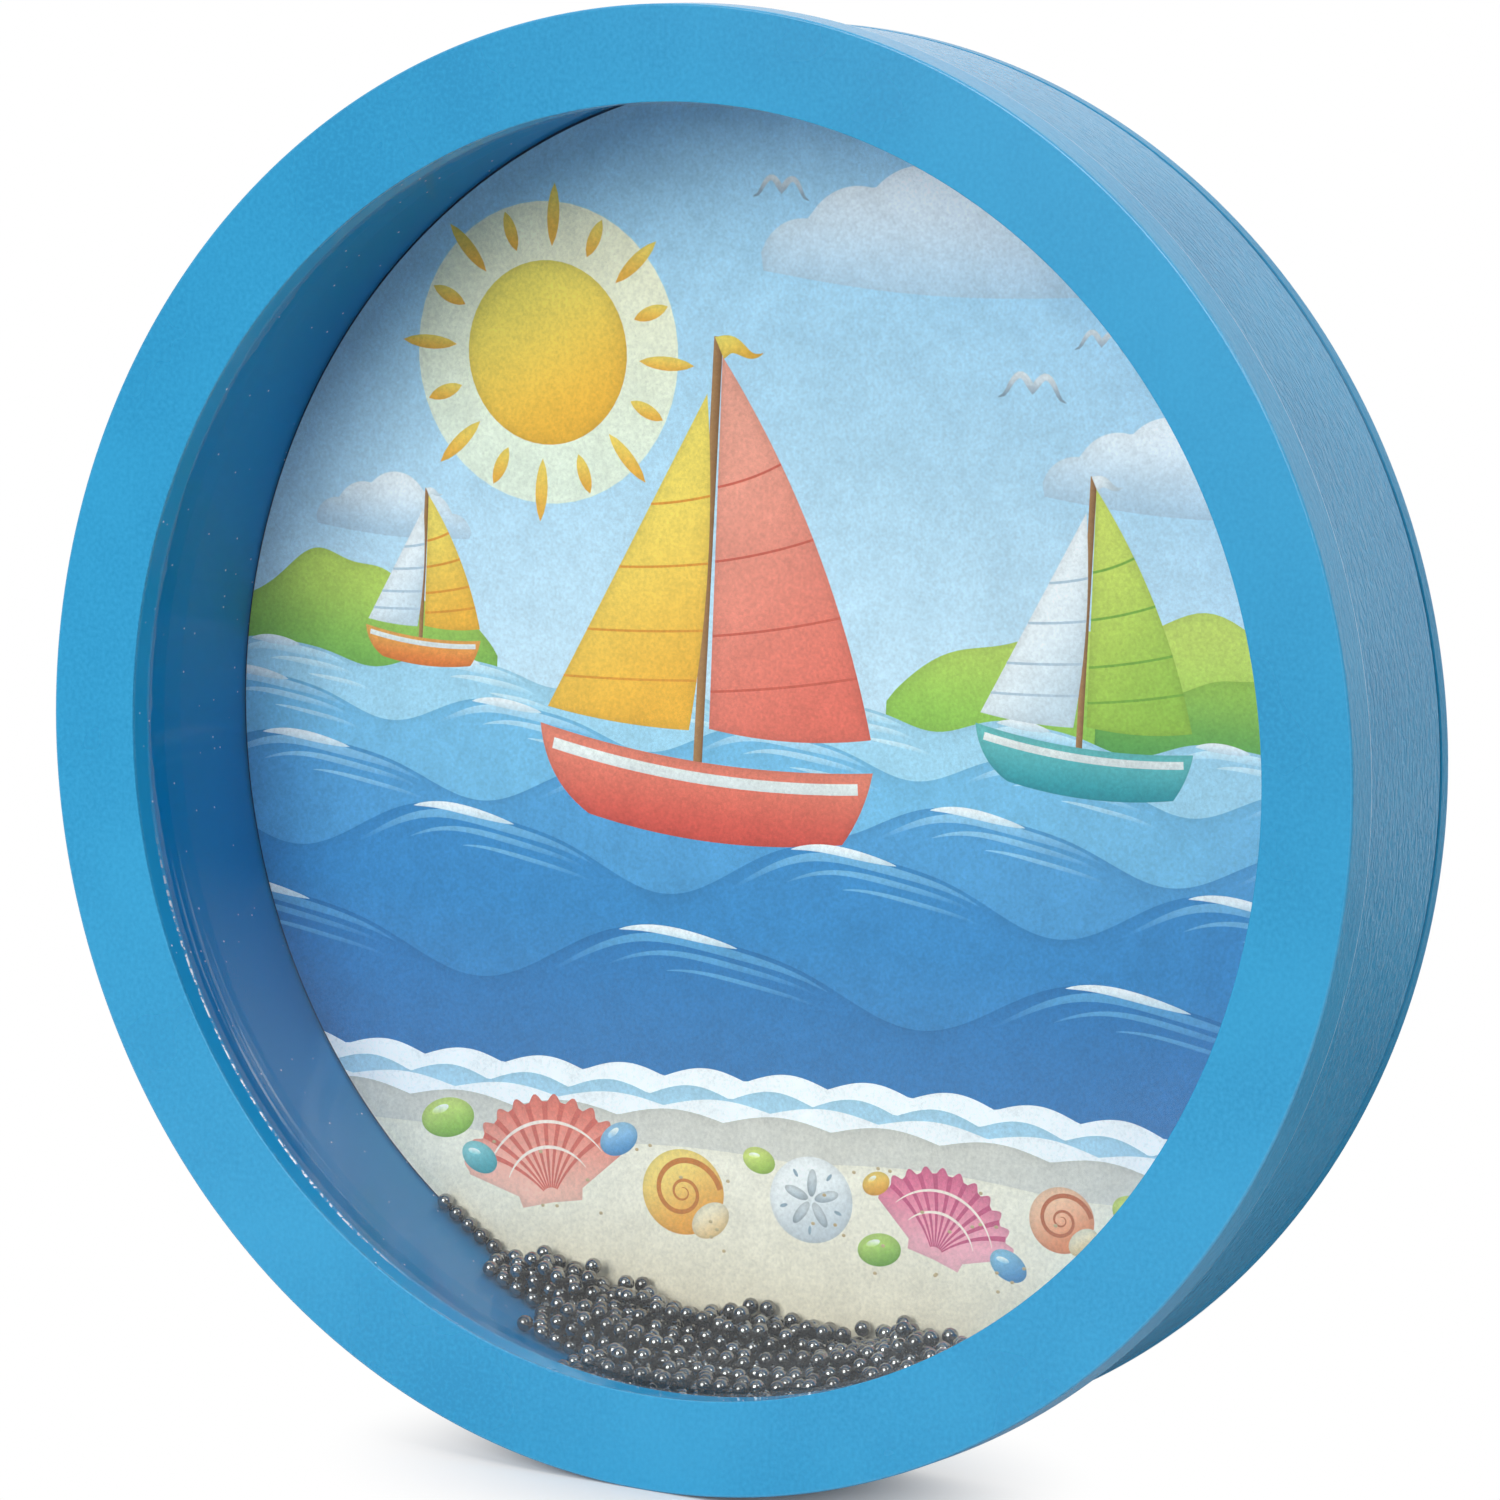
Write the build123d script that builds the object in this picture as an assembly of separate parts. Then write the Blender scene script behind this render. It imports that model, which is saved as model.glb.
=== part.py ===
from build123d import *
import math
import os

import numpy as np
from scipy.spatial import cKDTree

# Ocean drum: a shallow wooden drum with a clear window, a printed sheet at the bottom and loose steel balls.
# Millimetres. The drum stands on its rim: its axis is Y, the window faces -Y and Z is up.
# The origin is on the axis, halfway through the drum.

# Shell
drum_diameter = 200.0
ring_width = 13.0
ring_overhang = 3.0
front_ring_thickness = 6.0
hoop_wall = 7.0
hoop_length = 27.0
back_board_thickness = 3.0
front_edge_round = 0.3
ring_back_edge_round = 0.4
back_edge_round = 1.0
back_seam_bevel = 0.4

# Window, seated in a rabbet of the front ring and held from behind by the hoop
window_thickness = 2.0
window_seat_overlap = 1.5
window_clearance = 0.3
glue_bead_leg = 0.9

# Largest share of the lip's depth that its rounding and the glue bead may take
lip_round_share = 0.4
glue_bead_share = 0.6

# Printed sheet on the front of the back board
print_thickness = 0.4
print_edge_gap = 0.4

# Loose balls, in three slices of the chamber that can sweep round the axis past each other
ball_diameter = 2.38
ball_contact_gap = 0.08
sweep_clearance = 0.2
slice_count = 3
front_ball_count = 132
middle_ball_count = 262
rear_ball_count = 372
straggler_count = 5
front_heap_lean = 9.5
middle_heap_lean = 4.2
rear_heap_lean = -2.6
heap_twist_per_mm = -0.8

# How the heap is settled: a loose cloud of balls sinks until it rests
first_seed = 11
cloud_half_angle = 26.0
cloud_height_in_balls = 9.0
settle_steps = 320
pull_per_step_in_balls = 0.06
push_share = 0.7
contact_passes = 4
closing_passes = 2000

# Radii
drum_radius = drum_diameter / 2
lip_radius = drum_radius - ring_width
hoop_radius = drum_radius - ring_overhang
bore_radius = hoop_radius - hoop_wall
seat_radius = bore_radius + window_seat_overlap
ball_radius = ball_diameter / 2
ball_reach = bore_radius - sweep_clearance - ball_radius
ball_pitch = ball_diameter + ball_contact_gap

# Stations along Y, from the front face to the back face
front_face = -(front_ring_thickness + hoop_length + back_board_thickness) / 2
front_seam = front_face + front_ring_thickness
back_seam = front_seam + hoop_length
back_face = back_seam + back_board_thickness
window_front = front_seam - window_thickness
lip_depth = window_front - front_face
print_front = back_seam - print_thickness

# Slices of the ball chamber
chamber_front = front_seam + sweep_clearance
chamber_back = print_front - sweep_clearance
slice_pitch = (chamber_back - chamber_front + sweep_clearance) / slice_count
slice_depth = slice_pitch - sweep_clearance


def turned(*points):
    """A solid of revolution about the drum axis, from (radius, station) points of its section."""
    section = make_face(Polyline(*points, close=True))
    return revolve(section, axis=Axis.Y, revolution_arc=360)


def rounded(solid, radius, station, size):
    """The solid with the circular edge at this radius and station rounded off."""
    edges = []
    for edge in solid.edges().filter_by(GeomType.CIRCLE):
        on_station = math.isclose(edge.center().Y, station, abs_tol=1e-6)
        if on_station and math.isclose(edge.radius, radius, abs_tol=1e-6):
            edges.append(edge)
    return fillet(edges, size)


def make_front_ring():
    """Flat ring that stands out past the hoop on both sides, with a rabbet for the window behind its lip."""
    ring = turned(
        (lip_radius, front_face),
        (drum_radius, front_face),
        (drum_radius, front_seam),
        (seat_radius, front_seam),
        (seat_radius, window_front),
        (lip_radius, window_front),
    )
    lip_round = min(front_edge_round, lip_round_share * lip_depth)
    ring = rounded(ring, drum_radius, front_face, front_edge_round)
    ring = rounded(ring, drum_radius, front_seam, ring_back_edge_round)
    return rounded(ring, lip_radius, front_face, lip_round)


def make_hoop():
    """Deep wooden ring, whose front end holds the window in its seat."""
    return turned(
        (bore_radius, front_seam),
        (hoop_radius, front_seam),
        (hoop_radius, back_seam - back_seam_bevel),
        (hoop_radius - back_seam_bevel, back_seam),
        (bore_radius, back_seam),
    )


def make_back_board():
    """Disc that closes the back, bevelled at the seam and rounded at the back."""
    board = turned(
        (0, back_seam),
        (hoop_radius - back_seam_bevel, back_seam),
        (hoop_radius, back_seam + back_seam_bevel),
        (hoop_radius, back_face),
        (0, back_face),
    )
    return rounded(board, hoop_radius, back_face, back_edge_round)


def make_disc(radius, front, back):
    """Flat disc between two stations."""
    return turned((0, front), (radius, front), (radius, back), (0, back))


def make_window_bead():
    """Fillet of clear glue in the corner between the lip and the window."""
    leg = min(glue_bead_leg, glue_bead_share * lip_depth)
    return turned(
        (lip_radius, window_front - leg),
        (lip_radius, window_front),
        (lip_radius - leg, window_front),
    )


def push_apart(centres):
    """One pass that moves every ball half of its overlap away from each neighbour."""
    pairs = cKDTree(centres).query_pairs(ball_pitch, output_type="ndarray")
    first, second = pairs[:, 0], pairs[:, 1]
    away = centres[first] - centres[second]
    distance = np.linalg.norm(away, axis=1)[:, None]
    push = 0.5 * (ball_pitch - distance) * away / distance
    shift = np.zeros_like(centres)
    np.add.at(shift, first, push)
    np.add.at(shift, second, -push)
    return centres + push_share * shift


def keep_inside(centres, front, back):
    """The balls moved back inside the bore and between two stations."""
    outward = np.hypot(centres[:, 0], centres[:, 2])
    inward = ball_reach / np.maximum(outward, ball_reach)
    centres[:, 0] *= inward
    centres[:, 2] *= inward
    centres[:, 1] = np.clip(centres[:, 1], front, back)
    return centres


def settle(number, count, lean):
    """Centres of the balls of one slice at rest, sunk down the bore along a lean that twists from front to back."""
    chance = np.random.default_rng(first_seed + number)
    front = chamber_front + number * slice_pitch + ball_radius
    back = front + slice_depth - ball_diameter
    angle = np.radians(lean + chance.uniform(-cloud_half_angle, cloud_half_angle, count))
    radius = ball_reach - chance.uniform(0, cloud_height_in_balls, count) * ball_diameter
    station = chance.uniform(front, back, count)
    centres = np.column_stack([radius * np.sin(angle), station, -radius * np.cos(angle)])
    for step in range(settle_steps):
        pull = pull_per_step_in_balls * ball_diameter * (1 - step / settle_steps)
        way = np.radians(lean + heap_twist_per_mm * (centres[:, 1] - (front + back) / 2))
        centres = centres + pull * np.column_stack([np.sin(way), np.zeros(count), -np.cos(way)])
        for _ in range(contact_passes):
            centres = keep_inside(push_apart(centres), front, back)
    for _ in range(closing_passes):
        centres = keep_inside(push_apart(centres), front, back)
    return centres


def straggler_row(heap):
    """Balls in single file up the corner between bore and print, to the left of the heap."""
    step = 2 * math.asin(ball_pitch / (2 * ball_reach))
    left_end = np.arctan2(-heap[:, 0], -heap[:, 2]).max()
    angles = left_end + step * np.arange(1, straggler_count + 1)
    stations = np.full(straggler_count, chamber_back - ball_radius)
    return np.column_stack([-ball_reach * np.sin(angles), stations, -ball_reach * np.cos(angles)])


def make_balls(centres):
    """One solid ball at each centre."""
    ball = Sphere(ball_radius)
    return [Pos(*centre) * ball for centre in centres.tolist()]


front_heap = settle(0, front_ball_count, front_heap_lean)
middle_heap = settle(1, middle_ball_count, middle_heap_lean)
rear_heap = settle(2, rear_ball_count, rear_heap_lean)
rear_heap = np.vstack([rear_heap, straggler_row(rear_heap)])

nodes = {
    "front_ring": [make_front_ring()],
    "hoop": [make_hoop()],
    "back_board": [make_back_board()],
    "window_pane": [make_disc(seat_radius - window_clearance, window_front, front_seam)],
    "window_bead": [make_window_bead()],
    "print_sheet": [make_disc(bore_radius - print_edge_gap, print_front, back_seam)],
    "front_balls": make_balls(front_heap),
    "middle_balls": make_balls(middle_heap),
    "rear_balls": make_balls(rear_heap),
}

os.makedirs("parts", exist_ok=True)
for name, pieces in nodes.items():
    export_step(Compound(pieces), f"parts/{name}.step")

for name, heap in (("front", front_heap), ("middle", middle_heap), ("rear", rear_heap)):
    nearest = cKDTree(heap).query(heap, k=2)[0][:, 1].min()
    print(f"{name} balls: {len(heap)}, least gap {nearest - ball_diameter:.3f} mm")
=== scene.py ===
"""Looks of a wooden ocean drum: lacquered rings, clear window, seaside print and loose steel balls."""

from __future__ import annotations

import logging
import math
from collections.abc import Callable
from dataclasses import dataclass, field
from enum import Enum
from functools import partial

import bmesh
import bpy
import numpy as np
from mathutils import Matrix, Vector
from mathutils.geometry import delaunay_2d_cdt

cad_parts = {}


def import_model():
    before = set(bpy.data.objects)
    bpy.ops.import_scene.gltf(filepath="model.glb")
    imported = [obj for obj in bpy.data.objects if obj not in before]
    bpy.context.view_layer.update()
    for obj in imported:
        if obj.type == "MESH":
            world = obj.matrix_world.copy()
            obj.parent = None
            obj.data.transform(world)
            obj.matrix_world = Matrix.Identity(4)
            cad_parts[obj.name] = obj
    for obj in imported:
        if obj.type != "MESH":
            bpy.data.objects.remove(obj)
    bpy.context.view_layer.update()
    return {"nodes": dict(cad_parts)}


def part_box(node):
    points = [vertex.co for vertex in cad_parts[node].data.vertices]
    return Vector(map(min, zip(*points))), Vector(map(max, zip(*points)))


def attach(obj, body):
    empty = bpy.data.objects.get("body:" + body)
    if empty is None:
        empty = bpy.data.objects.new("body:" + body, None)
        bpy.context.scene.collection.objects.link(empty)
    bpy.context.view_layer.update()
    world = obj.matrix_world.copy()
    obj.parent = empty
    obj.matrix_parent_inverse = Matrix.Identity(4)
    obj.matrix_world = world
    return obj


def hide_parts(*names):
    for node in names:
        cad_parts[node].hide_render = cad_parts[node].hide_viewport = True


LOG = logging.getLogger("ocean_drum")
MM = 0.001
TURN_UV = "turned"
# Where the glue was laid thickest and where its glints and the pane's pale streaks are painted, as a direction from the
# drum's middle.
LOWER_LEFT = (-0.79, 0.0, -0.61)

Point = tuple[float, float]
Outline = list[Point]
Place = tuple[float, float, float]
# add_node with its tree filled in.
Adder = Callable[..., bpy.types.Node]


def linear(code: str) -> tuple[float, float, float, float]:
    """Turns an sRGB hex colour into linear red, green, blue and a full alpha.

    Args:
        code: six hex digits, with or without a leading #.

    Returns:
        The linear colour as four numbers.
    """
    digits = code.lstrip("#")
    parts = []
    for start in (0, 2, 4):
        value = int(digits[start : start + 2], 16) / 255
        parts.append(value / 12.92 if value <= 0.04045 else ((value + 0.055) / 1.055) ** 2.4)
    return parts[0], parts[1], parts[2], 1.0


def add_node(tree: bpy.types.NodeTree, kind: str, inputs: dict | None = None, **settings: object) -> bpy.types.Node:
    """Adds a node, sets its properties and fills its inputs.

    Args:
        tree: the node tree that gets the node.
        kind: the node's type name.
        inputs: socket name or number, with a value, the socket that feeds it or the node whose first output does.
        settings: properties of the node.

    Returns:
        The new node.
    """
    node = tree.nodes.new(kind)
    for name, value in settings.items():
        setattr(node, name, value)
    for key, value in (inputs or {}).items():
        if isinstance(value, bpy.types.Node):
            value = next(socket for socket in value.outputs if socket.enabled)
        if isinstance(value, bpy.types.NodeSocket):
            tree.links.new(value, node.inputs[key])
        else:
            node.inputs[key].default_value = value
    return node


def new_material(name: str) -> tuple[bpy.types.Material, Adder]:
    """Makes a material with an empty node tree.

    Args:
        name: the material's name.

    Returns:
        The material, and add_node for its tree.
    """
    material = bpy.data.materials.new(name)
    material.use_nodes = True
    material.node_tree.nodes.clear()
    return material, partial(add_node, material.node_tree)


def per_metre(size_mm: float) -> float:
    """The texture scale that gives features of this size on Object coordinates."""
    return 1 / (size_mm * MM)


def round_axis(radius: float, station: float, angle: float) -> Place:
    """The place in metres of a profile point in millimetres, turned about the drum axis from its foot."""
    return radius * math.sin(angle) * MM, station * MM, -radius * math.cos(angle) * MM


def new_object(name: str, mesh: bpy.types.Mesh) -> bpy.types.Object:
    """Links a new object into the scene, at the origin.

    Args:
        name: the piece's name.
        mesh: its mesh.

    Returns:
        The new object.
    """
    piece = bpy.data.objects.new(name, mesh)
    bpy.context.scene.collection.objects.link(piece)
    return piece


def dress(piece: bpy.types.Object, body: str, slot: str, *nodes: str) -> None:
    """Fixes a finished piece to its body and puts it in place of its CAD nodes.

    Args:
        piece: the finished piece.
        body: the CAD body that it moves with.
        slot: not used.
        nodes: the CAD nodes that it stands for.
    """
    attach(piece, body)
    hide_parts(*nodes)
    LOG.info("%s: %d faces, on %s", piece.name, len(piece.data.polygons), body)


class Body(Enum):
    """The drum's moving bodies."""

    SHELL = "shell"
    FRONT_HEAP = "front_heap"
    MIDDLE_HEAP = "middle_heap"
    REAR_HEAP = "rear_heap"


@dataclass(frozen=True)
class DrumSizes:
    """Radii and stations of the drum in millimetres, read from the CAD frame."""

    outer: float
    hoop: float
    lip: float
    bore: float
    pane: float
    print_radius: float
    front_face: float
    front_seam: float
    back_seam: float
    back_face: float
    pane_front: float
    print_front: float

    @classmethod
    def from_frame(cls, nodes: dict[str, bpy.types.Object]) -> DrumSizes:
        """Reads the sizes off the CAD nodes.

        Args:
            nodes: the CAD objects by node name.

        Returns:
            The drum's sizes.
        """
        ring, hoop, board, bead, pane, sheet = (
            [[value / MM for value in corner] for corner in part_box(node)]
            for node in ("front_ring", "hoop", "back_board", "window_bead", "window_pane", "print_sheet")
        )
        bore = min(math.hypot(vertex.co.x, vertex.co.z) for vertex in nodes["hoop"].data.vertices)
        return cls(
            outer=ring[1][0],
            hoop=hoop[1][0],
            lip=bead[1][0],
            bore=bore / MM,
            pane=pane[1][0],
            print_radius=sheet[1][0],
            front_face=ring[0][1],
            front_seam=ring[1][1],
            back_seam=hoop[1][1],
            back_face=board[1][1],
            pane_front=pane[0][1],
            print_front=sheet[0][1],
        )


# Finishes


@dataclass(frozen=True)
class SatinLacquer:
    """Sprayed satin lacquer on wood: even colour, faint orange peel, grain that shows through with a painted shade in
    its furrows, rubbed edges with a painted highlight, and a painted shade in the back groove.
    """

    name: str
    colour: str = "#309DCD"
    pooled: str = "#238EBF"
    grain_and_furrow_shade: str = "#15618F"
    # Lighter rubbed paint on handled edges, which also stands as a painted highlight along them.
    rubbed_and_highlight: str = "#9FCFEC"
    # Colour of the back groove, a painted shade darker than the lacquer.
    seam: str = "#0B3454"
    dust: str = "#EEF3F6"
    roughness: float = 0.25
    roughness_spread: float = 0.02
    worn_roughness: float = 0.08
    gloss: float = 0.5
    index: float = 1.5
    pool_mm: float = 28.0
    peel_mm: float = 0.6
    peel_height_mm: float = 0.006
    peel_strength: float = 0.6
    grain_length_mm: float = 2.2
    grain_width_mm: float = 0.6
    grain_height_mm: float = 0.16
    grain_strength: float = 0.5
    grain_and_furrow_shade_cover: float = 0.15
    rub_and_highlight_power: float = 3.0
    speck_spacing_mm: float = 2.4
    speck_cover: float = 0.0

    def make(self) -> bpy.types.Material:
        """Builds the material: turned UV for the grain, Object coordinates for peel, pooling and dust.

        Returns:
            The finished material.
        """
        material, node = new_material(self.name)
        place = node("ShaderNodeTexCoord").outputs["Object"]
        pool = node("ShaderNodeTexNoise", {"Vector": place, "Scale": per_metre(self.pool_mm), "Detail": 3.0})
        peel = node("ShaderNodeTexNoise", {"Vector": place, "Scale": per_metre(self.peel_mm), "Detail": 1.5})
        uneven = node("ShaderNodeMath", {0: pool, 1: peel}, operation="MULTIPLY")
        cloudy = node("ShaderNodeMapRange", {"Value": uneven, "From Min": 0.12, "From Max": 0.4})
        grain, sides = self._grain(node)
        # The grain's furrows are darkened in colour: grain, with a painted shade in its wrinkles.
        depth = node("ShaderNodeMath", {0: sides, 1: self.grain_and_furrow_shade_cover}, operation="MULTIPLY")
        streak = node("ShaderNodeMapRange", {"Value": grain, "From Min": 0.42, "From Max": 0.72, "To Max": depth})
        # The attribute read here is above nought on handled edges, which are painted lighter as rubbed paint and as a
        # painted highlight, and below nought in the back groove, which is painted dark as a painted shade.
        wear_and_painted_light = node("ShaderNodeAttribute", attribute_name="wear_and_painted_light").outputs["Fac"]
        edge_rub_and_highlight = node("ShaderNodeMath", {0: wear_and_painted_light, 1: 0.0}, operation="MAXIMUM")
        rub_and_highlight_cover = node("ShaderNodeMath", {0: edge_rub_and_highlight, 1: self.rub_and_highlight_power}, operation="POWER")
        painted_groove_shade = node("ShaderNodeMath", {0: wear_and_painted_light, 1: -1.0}, operation="MULTIPLY", use_clamp=True)
        paint = linear(self.colour)
        for cover, colour in (
            (cloudy, self.pooled),
            (streak, self.grain_and_furrow_shade),
            (rub_and_highlight_cover, self.rubbed_and_highlight),
            # The back groove gets its painted shade.
            (painted_groove_shade, self.seam),
            (self._specks(node, place), self.dust),
        ):
            # A Mix node keeps sockets for every data type, so its colour sockets go by number.
            paint = node("ShaderNodeMix", {0: cover, 6: paint, 7: linear(colour)}, data_type="RGBA")
        # Handled edges are polished, so they catch the lamp as a thin line.
        low, high = self.roughness - self.roughness_spread, self.roughness + self.roughness_spread
        satin = node("ShaderNodeMapRange", {"Value": pool, "To Min": low, "To Max": high})
        smooth = node("ShaderNodeMapRange", {"Value": edge_rub_and_highlight, "To Min": satin, "To Max": self.worn_roughness})
        fibres = node("ShaderNodeBump", {"Height": grain, "Strength": sides, "Distance": self.grain_height_mm * MM})
        skin = node(
            "ShaderNodeBump",
            {"Height": peel, "Strength": self.peel_strength, "Distance": self.peel_height_mm * MM, "Normal": fibres},
        )
        look = {"Base Color": paint, "Roughness": smooth, "Normal": skin}
        shader = node("ShaderNodeBsdfPrincipled", look | {"Specular IOR Level": self.gloss, "IOR": self.index})
        node("ShaderNodeOutputMaterial", {"Surface": shader})
        return material

    def _grain(self, node: Adder) -> tuple[bpy.types.Node, bpy.types.Node]:
        """Short wrinkles of the wood that run round the drum.

        Args:
            node: adds a node to the material.

        Returns:
            The height of the grain, and how strongly it shows: the flat faces are sanded smooth.
        """
        along = node("ShaderNodeUVMap", uv_map=TURN_UV)
        scale = (1 / self.grain_length_mm, 1 / self.grain_width_mm, 1)
        stretched = node("ShaderNodeMapping", {"Vector": along, "Scale": scale})
        grain = node(
            "ShaderNodeTexNoise",
            {"Vector": stretched, "Scale": 1.0, "Detail": 2.0, "Roughness": 0.5, "Distortion": 0.6},
            noise_dimensions="2D",
        )
        facing = node("ShaderNodeTexCoord").outputs["Normal"]
        ahead = node("ShaderNodeVectorMath", {0: facing, 1: (0, 1, 0)}, operation="DOT_PRODUCT")
        flat = node("ShaderNodeMath", {0: ahead}, operation="ABSOLUTE")
        sides = node(
            "ShaderNodeMapRange",
            {"Value": flat, "From Min": 0.2, "From Max": 0.6, "To Min": self.grain_strength, "To Max": 0.0},
        )
        return grain, sides

    def _specks(self, node: Adder, place: bpy.types.NodeSocket) -> bpy.types.Node:
        """Sparse specks of dust.

        Args:
            node: adds a node to the material.
            place: Object coordinates.

        Returns:
            The cover of the specks.
        """
        spacing = per_metre(self.speck_spacing_mm)
        cells = node("ShaderNodeTexVoronoi", {"Vector": place, "Scale": spacing, "Randomness": 1.0})
        return node(
            "ShaderNodeMapRange",
            {"Value": cells, "From Min": 0.04, "From Max": 0.07, "To Min": self.speck_cover, "To Max": 0.0},
        )


def polar(node: Adder, place: bpy.types.NodeSocket, wide_mm: float) -> tuple[bpy.types.Node, ...]:
    """Adds nodes that turn a place into its radius, its way round the drum and how near it is to the lower left.

    Args:
        node: adds a node to the material.
        place: the place in metres.
        wide_mm: the radius at which the way round is measured.

    Returns:
        The radius in metres, the way round in metres and the nearness from 0 to 1.
    """
    part = node("ShaderNodeSeparateXYZ", {"Vector": place}).outputs
    flat = node("ShaderNodeCombineXYZ", {"X": part["X"], "Z": part["Z"]})
    radius = node("ShaderNodeVectorMath", {0: flat}, operation="LENGTH")
    angle = node("ShaderNodeMath", {0: part["X"], 1: part["Z"]}, operation="ARCTAN2")
    along = node("ShaderNodeMath", {0: angle, 1: wide_mm * MM}, operation="MULTIPLY")
    aim = node("ShaderNodeVectorMath", {0: flat, 1: LOWER_LEFT}, operation="DOT_PRODUCT")
    near = node(
        "ShaderNodeMapRange",
        {"Value": aim, "From Min": 0.89 * wide_mm * MM, "From Max": 0.99 * wide_mm * MM},
        interpolation_type="SMOOTHSTEP",
    )
    return radius, along, near


@dataclass(frozen=True)
class ClearPane:
    """Cast acrylic sheet: mirrors a little, clear inside, dulled by dust towards its lower edge."""

    name: str = "clear_acrylic_sheet"
    tint: str = "#FBFDFD"
    index: float = 1.49
    roughness: float = 0.03
    haze: str = "#D5DADD"
    haze_most: float = 0.03
    haze_patch_mm: float = 6.0
    edge_mm: float = 87.0
    fade_mm: float = 16.0
    streaking_mm: float = 3.1
    streaking_most: float = 0.3
    # Shares of the streaked band's width over which it fades, at its inner and at its outer edge.
    streaking_fades: tuple[Point, Point] = ((1.0, 0.8), (0.35, 0.55))
    streak_length_mm: float = 26.0
    streak_width_mm: float = 0.22

    def make(self) -> bpy.types.Material:
        """Builds the material from a clear film, its mirror and a thin veil of dust.

        Returns:
            The finished material.
        """
        material, node = new_material(self.name)
        place = node("ShaderNodeTexCoord").outputs["Object"]
        height = node("ShaderNodeSeparateXYZ", {"Vector": place}).outputs["Z"]
        radius, along, near = polar(node, place, self.edge_mm)
        # Dust gathers along the rim, and more so low down.
        start, edge = (self.edge_mm - self.fade_mm) * MM, self.edge_mm * MM
        rim = node("ShaderNodeMapRange", {"Value": radius, "From Min": start, "From Max": edge})
        low = node("ShaderNodeMapRange", {"Value": height, "From Min": -0.2 * edge, "From Max": -0.95 * edge})
        patch = per_metre(self.haze_patch_mm)
        patches = node("ShaderNodeTexNoise", {"Vector": place, "Scale": patch, "Detail": 6.0, "Roughness": 0.7})
        veil = rim
        for share in (low, patches, 2 * self.haze_most):
            veil = node("ShaderNodeMath", {0: veil, 1: share}, operation="MULTIPLY", use_clamp=True)
        # Fine pale streaks that run round the pane along its edge, at the lower left.
        track = node("ShaderNodeCombineXYZ", {"X": along, "Y": radius})
        scale = (per_metre(self.streak_length_mm), per_metre(self.streak_width_mm), 1.0)
        drawn = node("ShaderNodeMapping", {"Vector": track, "Scale": scale})
        lines = node("ShaderNodeTexNoise", {"Vector": drawn, "Scale": 1.0, "Detail": 2.0}, noise_dimensions="2D")
        streaks = {"Value": lines, "From Min": 0.5, "From Max": 0.68, "To Max": self.streaking_most}
        streaking = node("ShaderNodeMapRange", streaks)
        shares = [near]
        for fade in self.streaking_fades:
            start, end = ((self.edge_mm - share * self.streaking_mm) * MM for share in fade)
            shares.append(node("ShaderNodeMapRange", {"Value": radius, "From Min": start, "From Max": end}))
        for share in shares:
            streaking = node("ShaderNodeMath", {0: streaking, 1: share}, operation="MULTIPLY")
        cover = node("ShaderNodeMath", {0: veil, 1: streaking}, operation="MAXIMUM")
        # A thin sheet mirrors alike from both sides; the node would turn the index round on its back.
        behind = node("ShaderNodeNewGeometry").outputs["Backfacing"]
        index = node("ShaderNodeMapRange", {"Value": behind, "To Min": self.index, "To Max": 1 / self.index})
        mirror = node("ShaderNodeFresnel", {"IOR": index})
        clear = node("ShaderNodeBsdfTransparent", {"Color": linear(self.tint)})
        shine = node("ShaderNodeBsdfGlossy", {"Roughness": self.roughness})
        film = node("ShaderNodeMixShader", {0: mirror, 1: clear, 2: shine})
        dust = node("ShaderNodeBsdfDiffuse", {"Color": linear(self.haze)})
        whole = node("ShaderNodeMixShader", {0: cover, 1: film, 2: dust})
        node("ShaderNodeOutputMaterial", {"Surface": whole})
        return material


@dataclass(frozen=True)
class ClearGlue:
    """Dried clear glue: wet gloss, all but invisible, with a broken white line of painted glints at the lower left,
    where it is thickest.
    """

    name: str = "clear_glue"
    # White of the glints painted along the bead.
    white: str = "#F3F7FA"
    edge_mm: float = 87.0
    front_mm: float = -14.0
    dash_mm: float = 0.9
    line_mm: Point = (0.46, 0.6)
    lump_mm: float = 0.2
    lump_strength: float = 0.8
    clear_cover: float = 0.04
    glint_cover: float = 0.9
    roughness: float = 0.1
    gloss: float = 0.8
    index: float = 1.48

    def make(self) -> bpy.types.Material:
        """Builds the material as a glossy skin that lets the lacquer behind it show.

        Returns:
            The finished material.
        """
        material, node = new_material(self.name)
        place = node("ShaderNodeTexCoord").outputs["Object"]
        depth = node("ShaderNodeSeparateXYZ", {"Vector": place}).outputs["Y"]
        _, along, near = polar(node, place, self.edge_mm)
        track = node("ShaderNodeCombineXYZ", {"X": along, "Y": depth})
        broken = node(
            "ShaderNodeTexNoise",
            {"Vector": track, "Scale": per_metre(self.dash_mm), "Detail": 3.0, "Roughness": 0.6},
            noise_dimensions="2D",
        )
        # Painted glints stand as white dashes along the bead's upper edge, at the lower left only.
        painted_glints = node("ShaderNodeMapRange", {"Value": broken, "From Min": 0.45, "From Max": 0.57})
        start, end = ((self.front_mm - rise) * MM for rise in self.line_mm)
        line = node("ShaderNodeMapRange", {"Value": depth, "From Min": start, "From Max": end})
        for share in (line, near):
            painted_glints = node("ShaderNodeMath", {0: painted_glints, 1: share}, operation="MULTIPLY")
        cover = node("ShaderNodeMapRange", {"Value": painted_glints, "To Min": self.clear_cover, "To Max": self.glint_cover})
        lumps = {"Height": broken, "Strength": self.lump_strength, "Distance": self.lump_mm * MM}
        look = {"Base Color": linear(self.white), "Alpha": cover, "Normal": node("ShaderNodeBump", lumps)}
        wet = {"Roughness": self.roughness, "Specular IOR Level": self.gloss, "IOR": self.index}
        shader = node("ShaderNodeBsdfPrincipled", look | wet)
        node("ShaderNodeOutputMaterial", {"Surface": shader})
        return material


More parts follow.
